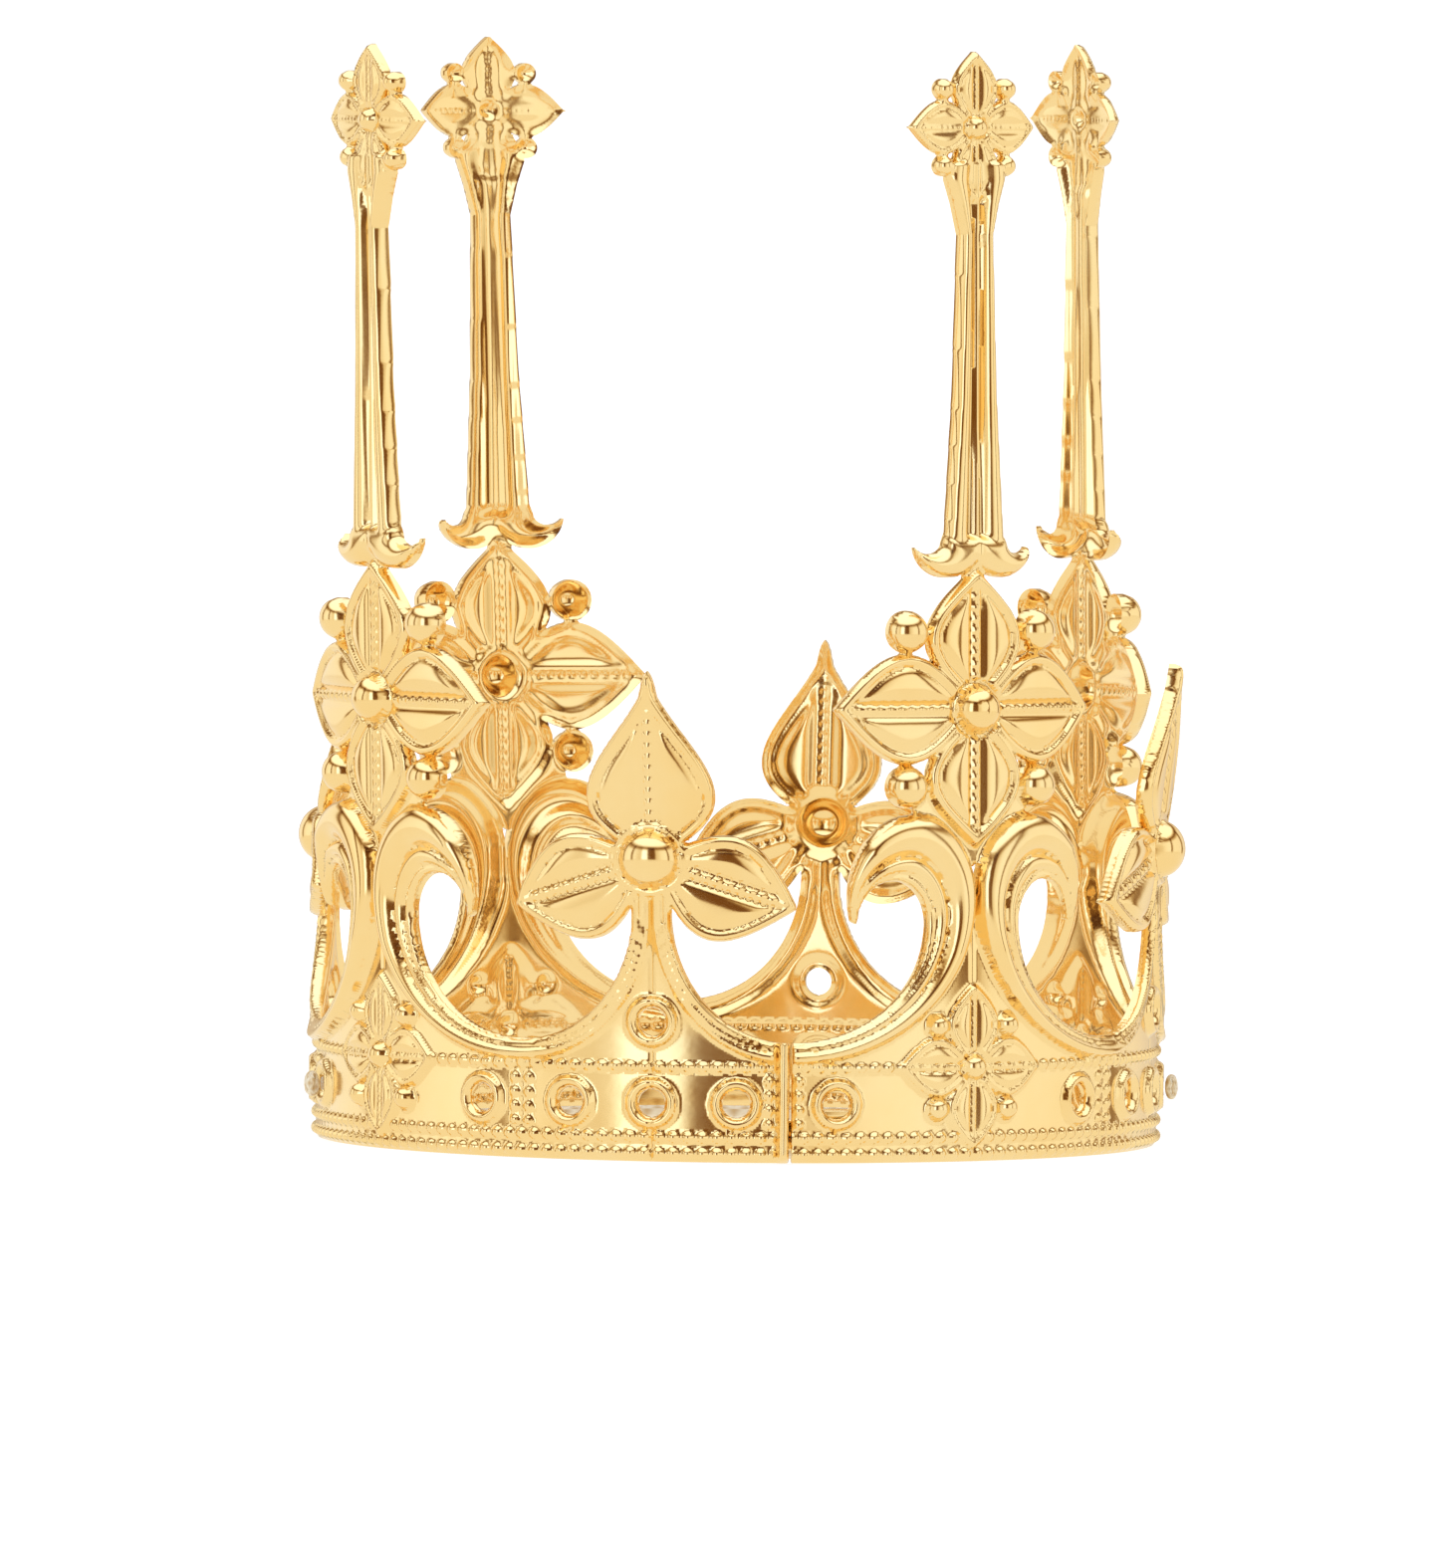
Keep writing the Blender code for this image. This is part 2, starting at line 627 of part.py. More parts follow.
def make_elastic(material):
    route = [on_band(angle, BAND_RADIUS - depth, height) for angle, depth, height in ELASTIC_ROUTE]
    data = bpy.data.curves.new("chin_elastic", "CURVE")
    data.dimensions = "3D"
    data.bevel_depth = ELASTIC_DIAMETER / 2 * MM
    data.bevel_resolution = 2
    data.use_fill_caps = True
    spline = data.splines.new("POLY")
    points = even_points(route, ELASTIC_POINTS)
    spline.points.add(len(points) - 1)
    for point, place in zip(spline.points, points):
        point.co = (*place, 1.0)
    data.materials.append(material)
    elastic = bpy.data.objects.new("chin_elastic", data)
    bpy.context.scene.collection.objects.link(elastic)
    return elastic


def make_knot(name, stop, material):
    """A flattened knot that bears on the ring round a hole, beyond the end of the elastic."""
    angle, end_depth, height = stop
    mesh = bmesh.new()
    bmesh.ops.create_icosphere(mesh, subdivisions=2, radius=KNOT_DIAMETER / 2 * MM)
    flatten = KNOT_THICKNESS / KNOT_DIAMETER
    bmesh.ops.scale(mesh, vec=(1.0, flatten, 1.0), verts=mesh.verts)
    knot = object_from(mesh, name)
    seat = BAND_RADIUS + max(RING_RELIEF, -end_depth)
    knot.location = on_band(angle, seat + CORD_GAP + KNOT_THICKNESS / 2, height)
    knot.rotation_euler = (0.0, 0.0, math.radians(angle))
    knot.data.materials.append(material)
    knot.data.shade_smooth()
    return knot


def main():
    clear_scene()
    gold = (0.83, 0.60, 0.26)
    cream = (0.93, 0.83, 0.62)
    left_gold = make_material("left_gold_metallising", gold, 0.18, 1.0)
    right_gold = make_material("right_gold_metallising", gold, 0.18, 1.0)
    elastic_braid = make_material("elastic_braid", cream, 0.8, 0.0)
    knot_braid = make_material("knot_braid", cream, 0.85, 0.0)

    half_shell("left_half_shell", PANEL_SETS_LEFT, left_gold)
    right = half_shell("right_half_shell", PANEL_SETS_RIGHT, right_gold)
    right.rotation_euler = (0.0, 0.0, math.pi)

    make_elastic(elastic_braid)
    make_knot("left_knot", ELASTIC_ROUTE[0], knot_braid)
    make_knot("right_knot", ELASTIC_ROUTE[-1], knot_braid)


main()
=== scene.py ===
import math

import bmesh
import bpy
import numpy as np
from mathutils import Matrix, Vector


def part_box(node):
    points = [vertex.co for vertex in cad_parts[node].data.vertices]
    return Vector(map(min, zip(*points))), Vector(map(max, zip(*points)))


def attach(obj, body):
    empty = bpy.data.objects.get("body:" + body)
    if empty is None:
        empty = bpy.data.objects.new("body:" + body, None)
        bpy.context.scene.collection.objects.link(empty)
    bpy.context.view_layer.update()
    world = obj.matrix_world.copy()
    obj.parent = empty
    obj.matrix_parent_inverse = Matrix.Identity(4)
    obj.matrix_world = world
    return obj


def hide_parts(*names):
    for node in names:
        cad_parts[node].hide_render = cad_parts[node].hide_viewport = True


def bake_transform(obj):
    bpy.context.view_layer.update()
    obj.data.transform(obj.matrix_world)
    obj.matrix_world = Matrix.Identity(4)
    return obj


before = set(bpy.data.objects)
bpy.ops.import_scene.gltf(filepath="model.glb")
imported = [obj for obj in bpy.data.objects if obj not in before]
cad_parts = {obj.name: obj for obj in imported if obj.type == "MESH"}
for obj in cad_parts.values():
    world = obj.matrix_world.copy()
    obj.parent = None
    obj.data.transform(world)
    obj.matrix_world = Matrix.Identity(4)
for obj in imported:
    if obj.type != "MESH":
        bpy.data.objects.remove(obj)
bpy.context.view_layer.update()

MM = 0.001

# Each half shell is one thin moulding. It is drawn flat as a height field over (s, z), with s the
# distance round the band and z the height, both in millimetres, and is then wrapped onto the band.

# ---- Band and wall (mm, degrees) ----
BAND_RADIUS = 44.5
WALL = 0.7
BAND_HEIGHT = 12.5
TREFOIL_ANGLE = 37.5
TOWER_ANGLE = 90.0 - TREFOIL_ANGLE
TREFOIL_HALF = math.radians(TREFOIL_ANGLE / 2) * BAND_RADIUS
TOWER_HALF = math.radians(TOWER_ANGLE / 2) * BAND_RADIUS
SEAM_GAP = 0.3
CELL = 0.25  # grid step of the height field
EDGE_ROUND = 0.35  # width and depth of the rounding along every edge
EDGE_DROP = 0.25
SHARP_ANGLE = 62
TOP = 117.0  # height that the grid reaches
BEND_HEIGHT = 33.0  # trefoils bend here as well as leaning from the band

# Outward lean and further bend of each panel in degrees, in order round a half from its s = 0.
PANEL_SETS_LEFT = ((5.0, 6.0), (1.6, 0.0), (-1.4, -14.0), (3.6, 0.0))
PANEL_SETS_RIGHT = ((0.9, 4.0), (-1.1, 0.0), (0.1, 8.0), (-0.9, 0.0))

# ---- Beads and rings (mm) ----
BEAD_PITCH = 1.53
BEAD_RADIUS = 0.58
BEAD_ROWS = (0.85, 2.55, 9.9)
COLUMN_OFFSET = 0.85
COLUMN_RANGE = (3.9, 9.2)
COLUMN_PITCH = (COLUMN_RANGE[1] - COLUMN_RANGE[0]) / 3.5
BEAD_REACH = 1.0  # a row or column of beads stays within this of its middle line
STRIP_MIDDLE = 0.8  # the seam strip's distance from the seam's edge
STRIP_WIDTH = 1.62
STRIP_HEIGHT = 1.5
STRIP_COLUMN = 2.25  # the bead column beside the strip
HOLE_HEIGHT = 6.1
HOLE_RADIUS = 1.45
RING_RADIUS = 2.05
TREFOIL_HOLE_PITCH = 8.9
TOWER_HOLE_OFFSET = 15.5
UPPER_HOLE_HEIGHT = 14.6

# ---- Scrolls (mm) ----
SCROLL_BAND = 2.2
TREFOIL_STEM_WIDTH = 4.1
TREFOIL_STEM_TOP = 26.0
CURL_TOP = 36.3
CURL_REACH = 14.5
CURL_MIDDLE = 27.8
EYE_MIDDLE = 25.0
EYE_NEAR = 5.7
EYE_FAR = 13.4
EYE_HEIGHT = 4.4
SCROLL_GROOVE = 0.15
BEYOND_PANEL = 4.0  # outlines run this far past their panel's boundary
BELOW_BAND = -9.0  # and end down here, under the band
# Each scroll is three ridges side by side: where they part, as shares of its width, and their heights.
TOWER_BREAKS = (0.15, 0.42)
TOWER_HEIGHTS = (0.75, 1.25, 2.0)
TREFOIL_BREAKS = (0.42, 0.72)
TREFOIL_HEIGHTS = (1.6, 1.25, 1.1)

# ---- Trefoil (mm, degrees) ----
TREFOIL_CENTRE = 31.6
TREFOIL_BOSS_RADIUS = 3.1
TREFOIL_COLLAR_RADIUS = 3.9
TOP_PETAL_LENGTH = 19.6
TOP_PETAL_WIDTH = 13.0
SIDE_PETAL_LENGTH = 15.8
SIDE_PETAL_WIDTH = 11.2
SIDE_PETAL_DROOP = 18.5

# ---- Tower (mm) ----
FLOWER_CENTRE = 47.3
FLOWER_REACH = 16.2
FLOWER_UP = 14.6
FLOWER_DOWN = 14.4
BAND_FLOWER_CENTRE = 9.9
BAND_FLOWER_REACH = 8.7
HEAD_CENTRE = 108.0
HEAD_REACH = 8.0
FLUKE_REACH = 7.3
FLUKE_LOW = 61.0
FLUKE_TIP = 64.4
FLUKE_NOTCH = 1.7
THROAT_OUTLINE = ((-1.0, 30.0), (7.2, 36.1), (6.6, 39.6), (-1.0, 39.6))  # web under the flower
# The web between the flower's top petal and the crescent.
NECK_OUTLINE = ((-1.0, 58.0), (2.2, 58.0), (1.2, 60.9), (1.9, 63.4), (-1.0, 63.4))
NECK_RELIEF = 0.45
# Widths of the stem at heights from its foot to the flare under the head.
STEM_WIDTHS = ((62.0, 6.4), (65.4, 7.0), (80.0, 5.1), (96.8, 4.0), (100.0, 5.6), (102.6, 7.4), (104.5, 6.8))

# ---- Slip joint inside the seams (mm), as the CAD has it ----
TONGUE_LENGTH = 8.0
TONGUE_HEIGHT = 3.2
TONGUE_THICKNESS = 1.0
TONGUE_ROOT = 7.0
SLIP_CLEARANCE = 0.3
SLEEVE_WALL = 0.8
SLEEVE_LENGTH = 7.0
SLEEVE_LIFT = 0.1
CAD_WALL = 0.9  # the fittings are placed against the CAD's thicker wall

# ---- Elastic (mm) ----
ELASTIC_DIAMETER = 1.4
ROUTE_STEPS = 24  # steps of the smooth curve between two stops of the route
ELASTIC_WEAVE = (95.0, 1.0)  # threads along and round
KNOT_WEAVE = (9.0, 1.5)
# From the left hole to the right one: (angle from the front seam towards +X in degrees, depth inside
# the band's outer face, height).
ELASTIC_ROUTE = [
    (-83.75, -0.5, 6.0),
    (-83.75, 2.9, 6.0),
    (-81.0, 5.9, 5.2),
    (-72.0, 7.5, 2.6),
    (-58.0, 7.9, 0.95),
    (-35.0, 8.0, 0.8),
    (-5.0, 7.8, 0.8),
    (30.0, 8.1, 0.8),
    (65.0, 7.9, 0.8),
    (100.0, 8.0, 0.8),
    (140.0, 7.8, 0.8),
    (180.0, 7.9, 0.8),
    (215.0, 7.3, 0.8),
    (245.0, 6.1, 0.8),
    (276.0, 5.6, 0.8),
    (310.0, 5.6, 0.8),
    (345.0, 5.9, 0.8),
    (380.0, 5.7, 0.8),
    (410.0, 5.6, 0.95),
    (427.0, 5.3, 2.2),
    (437.5, 4.5, 4.8),
    (442.25, 2.5, 6.0),
    (442.25, -0.5, 6.0),
]


# ---- Small helpers for height fields ----


def smooth_max(a, b, blend=0.12):
    """The larger of two fields, with a fillet where they meet."""
    near = np.maximum(blend - np.abs(a - b), 0.0)
    return np.maximum(a, b) + near * near / (4 * blend)


def ease(low, high, x):
    """A smooth step from 0 at low to 1 at high."""
    share = np.clip((x - low) / (high - low), 0.0, 1.0)
    return share * share * (3 - 2 * share)


def half_round(offset, half_width, height):
    """A rounded ridge's height at an offset from its middle line; 0 outside it."""
    return height * np.sqrt(np.clip(1 - (offset / half_width) ** 2, 0.0, 1.0))


def arc(centre, radii, start, stop, steps):
    """Points on an ellipse from one angle to another, in degrees from +s towards +z."""
    angles = np.radians(np.linspace(start, stop, steps + 1))
    return np.stack([centre[0] + radii[0] * np.cos(angles), centre[1] + radii[1] * np.sin(angles)], 1)


def distance_to_line(s, z, points):
    """Distance from each place to an open line of points."""
    best = np.full(s.shape, 1e9)
    for (s0, z0), (s1, z1) in zip(points, points[1:]):
        ds, dz = s1 - s0, z1 - z0
        share = np.clip(((s - s0) * ds + (z - z0) * dz) / (ds * ds + dz * dz + 1e-12), 0.0, 1.0)
        best = np.minimum(best, (s - s0 - share * ds) ** 2 + (z - z0 - share * dz) ** 2)
    return np.sqrt(best)


def inside_polygon(s, z, points):
    """Distance into a closed outline: positive inside, negative outside."""
    within = np.zeros(s.shape, bool)
    loop = np.vstack([points, points[:1]])
    for (s0, z0), (s1, z1) in zip(loop, loop[1:]):
        if z0 == z1:
            continue
        crosses = ((z0 > z) != (z1 > z)) & (s < (s1 - s0) * (z - z0) / (z1 - z0) + s0)
        within ^= crosses
    return np.where(within, 1.0, -1.0) * distance_to_line(s, z, loop)


# ---- Ornaments: heights, distances into their outlines, and bead heights ----


def bead_line(along, across, pitch, radius=BEAD_RADIUS, phase=0.0):
    """A row of beads with a low cord between them."""
    nearest = (along / pitch - phase - np.round(along / pitch - phase)) * pitch
    bead = 0.9 * np.sqrt(np.clip(radius**2 - nearest**2 - across**2, 0.0, None))
    cord = half_round(across, radius * 0.6, radius * 0.3)
    return np.maximum(bead, cord)


def ring(s, z, centre):
    """A rounded rim round a hole, with a narrow step down inside it."""
    r = np.hypot(s - centre[0], z - centre[1])
    rim = half_round(r - RING_RADIUS - 0.1, 0.52, 0.85)
    step = half_round(r - HOLE_RADIUS - 0.1, 0.28, 0.35)
    return np.maximum(rim, step), HOLE_RADIUS - r


def ball(s, z, centre, radius, lift=0.35):
    """A half ball standing on a low lift."""
    r = np.hypot(s - centre[0], z - centre[1])
    height = np.where(r < radius, lift + np.sqrt(np.clip(radius**2 - r**2, 0.0, None)) * 0.95, -1.0)
    return height, radius - r


def petal(s, z, centre, turn, length, width, skew=1.0, fullness=1.0, scale=1.0, tip=0.35, sag=0.0):
    """A pointed petal: raised rim, two smooth lobes and a beaded midrib."""
    angle = math.radians(turn)
    ds, dz = s - centre[0], z - centre[1]
    along = -ds * math.sin(angle) + dz * math.cos(angle)
    across = ds * math.cos(angle) + dz * math.sin(angle)
    share = np.clip(along / length, 0.001, 0.999)
    base = np.clip(share, 0.001, 0.999) ** skew
    half = width / 2 * np.sin(math.pi * base) ** fullness
    half = np.maximum(half, tip * np.sqrt(np.clip((1 - share) * 8, 0, 1)))
    slope = np.gradient(width / 2 * np.sin(math.pi * np.linspace(0.001, 0.999, 400) ** skew) ** fullness)
    slope = np.interp(share, np.linspace(0, 1, 400), slope) / (length / 400)
    bulge = across - sag * np.sin(math.pi * base)
    depth_in = (half - np.abs(bulge)) / np.sqrt(1 + slope**2)
    depth_in = np.minimum(depth_in, np.minimum(along, length - along + 0.2))
    d = depth_in / scale
    rim = 0.3 + half_round(d - 0.62, 0.62, 0.85)
    lobe = np.minimum(d - 1.22, np.abs(across) / scale - 0.72)
    puff = np.sqrt(np.clip(1 - (1 - np.clip(lobe / 1.7, 0.0, 1.0)) ** 2, 0.0, 1.0))
    field = np.where(d > 1.18, 0.35 + 0.8 * puff, 0.0)
    height = np.maximum(np.where(d < 1.24, rim, 0.3), field)
    on_rib = (np.abs(across) / scale < 0.6) & (d > 0.7)
    rib = 0.55 + half_round(across / scale, 0.55, 0.3)
    height = np.where(on_rib, np.maximum(height, rib), height)
    beads = 0.62 + bead_line(along / scale, across / scale, 1.18, 0.47)
    fine = np.where((np.abs(across) / scale < 0.47) & (d > 0.5), beads, -1.0)
    size = scale**0.7
    return np.where(depth_in > 0, height * size, -1.0), depth_in, fine * size


def flower(s, z, centre_z, side, up, down, scale):
    """Four petals, four balls between them and a round boss."""
    height = np.full(s.shape, -1.0)
    inside = np.full(s.shape, -9.0)
    fine = np.full(s.shape, -1.0)
    width = side * 0.71
    for turn, length in ((0, up), (90, side), (180, down), (270, side)):
        h, d, f = petal(s, z, (0.0, centre_z), turn, length, width, scale=scale)
        height = np.maximum(height, h)
        fine = np.maximum(fine, f)
        inside = smooth_max(inside, d, 0.3)
    offset, radius = side * 0.5, side * 0.137
    for across in (-1, 1):
        for rise in (-1, 1):
            place = (across * offset, centre_z + rise * offset)
            h, d = ball(s, z, place, radius)
            height = np.maximum(height, h)
            inside = smooth_max(inside, d, 0.5)
    r = np.hypot(s, z - centre_z)
    h, d = ball(s, z, (0.0, centre_z), side * 0.155, lift=0.7 * scale)
    groove = 0.35 * scale
    height = np.where(r < side * 0.185, np.maximum(groove, h), height)
    fine = np.where(r < side * 0.2, -1.0, fine)
    return height, inside, fine


def trefoil_edge():
    """Upper edge of a trefoil panel's foot, from past its boundary in to the stem."""
    radii = (TREFOIL_HALF - TREFOIL_STEM_WIDTH / 2, TREFOIL_STEM_TOP - BAND_HEIGHT)
    edge = arc((TREFOIL_HALF, TREFOIL_STEM_TOP), radii, 270, 180, 40)
    stem = [(TREFOIL_STEM_WIDTH / 2, TREFOIL_CENTRE)]
    return np.vstack([[(TREFOIL_HALF + BEYOND_PANEL, BAND_HEIGHT)], edge, stem])


def trefoil_ridge_foot():
    """Lower edge of the raised scroll of a trefoil panel's foot."""
    radii = (TREFOIL_HALF - SCROLL_GROOVE, TREFOIL_STEM_TOP - BAND_HEIGHT + SCROLL_BAND)
    foot = arc((TREFOIL_HALF, TREFOIL_STEM_TOP), radii, 270, 180, 40)
    low = BAND_HEIGHT - SCROLL_BAND
    return np.vstack([[(TREFOIL_HALF + BEYOND_PANEL, low)], foot, [(SCROLL_GROOVE, TREFOIL_CENTRE)]])


def eye_edge():
    """Inner edge of a tower's scroll, from past the panel's boundary round the eye to the curl's tip."""
    lower_radii = (TOWER_HALF - EYE_NEAR, EYE_MIDDLE - BAND_HEIGHT)
    lower = arc((TOWER_HALF, EYE_MIDDLE), lower_radii, 270, 180, 40)
    eye_centre = ((EYE_NEAR + EYE_FAR) / 2, EYE_MIDDLE)
    upper = arc(eye_centre, ((EYE_FAR - EYE_NEAR) / 2, EYE_HEIGHT), 180, -2, 40)
    return np.vstack([[(TOWER_HALF + BEYOND_PANEL, BAND_HEIGHT)], lower, upper[1:]])


def curl_edge():
    """Outer edge of a scroll's curl, from its tip over the top to the tower's middle."""
    half_reach = (CURL_REACH - SCROLL_GROOVE) / 2
    centre = (SCROLL_GROOVE + half_reach, CURL_MIDDLE)
    return arc(centre, (half_reach, CURL_TOP - CURL_MIDDLE), -18, 180, 50)


def scroll_foot():
    """Lower edge of a tower's raised scroll, from the middle out past the panel's boundary."""
    radii = (TOWER_HALF - SCROLL_GROOVE, CURL_MIDDLE - BAND_HEIGHT + SCROLL_BAND)
    foot = arc((TOWER_HALF, CURL_MIDDLE), radii, 180, 270, 40)
    return np.vstack([foot, [(TOWER_HALF + BEYOND_PANEL, BAND_HEIGHT - SCROLL_BAND)]])


def ridges(inner, outer, breaks, heights):
    """Three rounded ridges side by side between two lines, given the distances to them."""
    width = inner + outer
    share = inner / np.maximum(width, 1e-6)
    size = np.clip(width / 4.6, 0.12, 1.0) ** 0.8
    height = np.zeros(inner.shape)
    starts = [0.0, breaks[0], breaks[1]]
    stops = [breaks[0], breaks[1], 1.0]
    for start, stop, top in zip(starts, stops, heights):
        middle, half = (start + stop) / 2, (stop - start) / 2
        height = np.maximum(height, half_round(share - middle, half * 1.04, top))
    return height * size + 0.15


def trefoil_field(s, z):
    """(height, inside, beads, hole centres) of a trefoil panel, s measured from its middle."""
    a = np.abs(s)
    edge, foot = trefoil_edge(), trefoil_ridge_foot()
    to_edge, to_foot = distance_to_line(a, z, edge), distance_to_line(a, z, foot)
    base = [(0.0, TREFOIL_CENTRE), (0.0, BELOW_BAND), (TREFOIL_HALF + BEYOND_PANEL, BELOW_BAND)]
    plate = np.vstack([edge, base])
    inside = inside_polygon(a, z, plate)
    ridge_area = np.vstack([edge, foot[::-1]])
    within = inside_polygon(a, z, ridge_area) > 0
    turn = ease(TREFOIL_HALF - 9.0, TREFOIL_HALF, a)
    breaks = [low + (high - low) * turn for low, high in zip(TREFOIL_BREAKS, TOWER_BREAKS)]
    tops = [low + (high - low) * turn for low, high in zip(TREFOIL_HEIGHTS, TOWER_HEIGHTS)]
    height = np.where(within, ridges(to_edge, to_foot, breaks, tops), 0.0)
    fine = np.full(s.shape, -1.0)
    centre = (0.0, TREFOIL_CENTRE)
    leaves = [
        petal(s, z, centre, 90 + SIDE_PETAL_DROOP, SIDE_PETAL_LENGTH, SIDE_PETAL_WIDTH, sag=-0.5),
        petal(s, z, centre, -90 - SIDE_PETAL_DROOP, SIDE_PETAL_LENGTH, SIDE_PETAL_WIDTH, sag=0.5),
        petal(s, z, centre, 0, TOP_PETAL_LENGTH, TOP_PETAL_WIDTH, skew=0.63, fullness=1.5, tip=0.85),
    ]
    for h, d, f in leaves:
        height = np.maximum(np.where(d > 0.0, 0.0, height), h)
        fine = np.maximum(fine, f)
        inside = smooth_max(inside, d, 0.25)
    r = np.hypot(s, z - TREFOIL_CENTRE)
    in_collar = r < TREFOIL_COLLAR_RADIUS
    collar = np.where(in_collar, 0.5 + half_round(r - TREFOIL_COLLAR_RADIUS + 0.4, 0.42, 0.75), -1.0)
    h, d = ball(s, z, centre, TREFOIL_BOSS_RADIUS, lift=0.6)
    height = np.where(in_collar, np.maximum(collar, h), height)
    fine = np.where(r < TREFOIL_COLLAR_RADIUS + 0.1, -1.0, fine)
    inside = np.maximum(inside, TREFOIL_COLLAR_RADIUS - r)
    holes = [(step * TREFOIL_HOLE_PITCH, HOLE_HEIGHT) for step in (-1, 0, 1)]
    return height, inside, fine, holes + [(0.0, UPPER_HOLE_HEIGHT)]


def fluke_outline():
    """The right fluke of the crescent under a tower's stem."""
    middle = (FLUKE_REACH / 2 - 0.25, FLUKE_TIP)
    lower = arc(middle, (FLUKE_REACH - middle[0], FLUKE_TIP - FLUKE_LOW), 215, 357, 24)
    notch = FLUKE_REACH - FLUKE_NOTCH
    upper = arc((notch, FLUKE_TIP + 0.3), (FLUKE_NOTCH, 1.2), -8, -180, 16)
    root = [(notch - FLUKE_NOTCH - 0.3, FLUKE_TIP + 1.0), (-0.6, FLUKE_TIP + 1.0), (-0.6, 61.4)]
    return np.vstack([lower, upper, root])


def stem_field(s, z):
    """A tapering stem: two broad side rounds, dark grooves and a thin rib in the middle."""
    heights, widths = zip(*STEM_WIDTHS)
    half = np.interp(z, heights, widths) / 2
    inside = np.minimum(half - np.abs(s), np.minimum(z - heights[0], heights[-1] - z))
    share = np.abs(s) / half
    side = half_round(share - 0.66, 0.36, 1.25)
    rib = half_round(share, 0.13, 0.75)
    height = 0.1 + np.maximum(side, rib)
    return np.where(inside > 0, height, -1.0), inside


def tower_field(s, z):
    """(height, inside, beads, hole centres) of a tower panel, s measured from its middle."""
    a = np.abs(s)
    eye, curl, foot = eye_edge(), curl_edge(), scroll_foot()
    outer_line = np.vstack([curl, foot])
    base = [(0.0, CURL_MIDDLE), (0.0, BELOW_BAND), (TOWER_HALF + BEYOND_PANEL, BELOW_BAND)]
    plate = np.vstack([eye, curl, base])
    inside = inside_polygon(a, z, plate)
    within = inside_polygon(a, z, np.vstack([eye, curl, foot])) > 0
    to_eye, to_outer = distance_to_line(a, z, eye), distance_to_line(a, z, outer_line)
    height = np.where(within, ridges(to_eye, to_outer, TOWER_BREAKS, TOWER_HEIGHTS), 0.0)
    throat = inside_polygon(a, z, np.array(THROAT_OUTLINE))
    inside = smooth_max(inside, throat, 0.3)
    neck = inside_polygon(a, z, np.array(NECK_OUTLINE))
    height = np.where(neck > 0, np.maximum(height, NECK_RELIEF), height)
    inside = smooth_max(inside, neck, 0.5)
    fluke = inside_polygon(a, z, fluke_outline())
    fluke_height = np.where(fluke > 0, 0.2 + half_round(1.9 - np.minimum(fluke, 1.9), 1.9, 1.55), -1.0)
    stem_height, stem = stem_field(s, z)
    none = np.full(s.shape, -1.0)
    fine = none
    for h, d, f in (
        (fluke_height, fluke, none),
        (stem_height, stem, none),
        flower(s, z, BAND_FLOWER_CENTRE, BAND_FLOWER_REACH, BAND_FLOWER_REACH, BAND_FLOWER_REACH, 0.56),
        flower(s, z, FLOWER_CENTRE, FLOWER_REACH, FLOWER_UP, FLOWER_DOWN, 1.0),
        flower(s, z, HEAD_CENTRE, HEAD_REACH, HEAD_REACH, HEAD_REACH, 0.55),
    ):
        height = np.maximum(height, h)
        fine = np.maximum(fine, f)
        inside = smooth_max(inside, d, 0.3)
    holes = [(side * TOWER_HOLE_OFFSET, HOLE_HEIGHT) for side in (-1, 1)]
    return height, inside, fine, holes


def bead_column(across, z):
    """A column of beads up the band's plain middle; -1 outside it."""
    low, high = COLUMN_RANGE
    in_range = (z > low - 0.4) & (z < high + 0.2) & (np.abs(across) < BEAD_REACH)
    return np.where(in_range, bead_line(z - low, across, COLUMN_PITCH), -1.0)


def band_beads(s, z, half):
    """The bead rows of one panel and the two columns at its ends."""
    pitch = 2 * half / round(2 * half / BEAD_PITCH)
    height = np.full(s.shape, -1.0)
    for row in BEAD_ROWS:
        beads = bead_line(s, z - row, pitch, phase=0.5)
        height = np.maximum(height, np.where(np.abs(z - row) < BEAD_REACH, beads, -1.0))
    for side in (-1, 1):
        height = np.maximum(height, bead_column(s - side * (half - COLUMN_OFFSET), z))
    return height


def half_field(s, z):
    """Height, inside-distance and bead height of a whole half; s runs from 0 at its front seam to -length."""
    height = np.zeros(s.shape)
    inside = np.full(s.shape, -9.0)
    fine = np.full(s.shape, -1.0)
    quarter = math.pi * BAND_RADIUS / 2
    for step in range(2):
        trefoil_middle = -step * quarter - TREFOIL_HALF
        tower_middle = trefoil_middle - TREFOIL_HALF - TOWER_HALF
        for middle, half, field in (
            (trefoil_middle, TREFOIL_HALF, trefoil_field),
            (tower_middle, TOWER_HALF, tower_field),
        ):
            reach = np.abs(s - middle) < half + 3.0
            ls, lz = s[reach] - middle, z[reach]
            h, d, f, holes = field(ls, lz)
            plain = (h < 0.12) | ((lz < 11.0) & (h < 0.3))
            f = np.where(plain, np.maximum(f, band_beads(ls, lz, half)), f)
            hole_in = np.full(ls.shape, -9.0)
            for hole in holes:
                rim, into = ring(ls, lz, hole)
                h = np.maximum(h, rim)
                f = np.where(rim > 0.1, -1.0, f)
                hole_in = np.maximum(hole_in, into)
            d = np.minimum(d, -hole_in)
            # A panel owns the band across its own width; above the band its petals may reach past it.
            mine = (np.abs(ls) <= half) | ((lz > BAND_HEIGHT + 0.5) & (d > -0.6))
            height[reach] = np.where(mine, np.maximum(height[reach], h), height[reach])
            fine[reach] = np.where(mine, np.maximum(fine[reach], f), fine[reach])
            inside[reach] = np.where(mine, np.maximum(inside[reach], d), inside[reach])
    return height, inside, fine


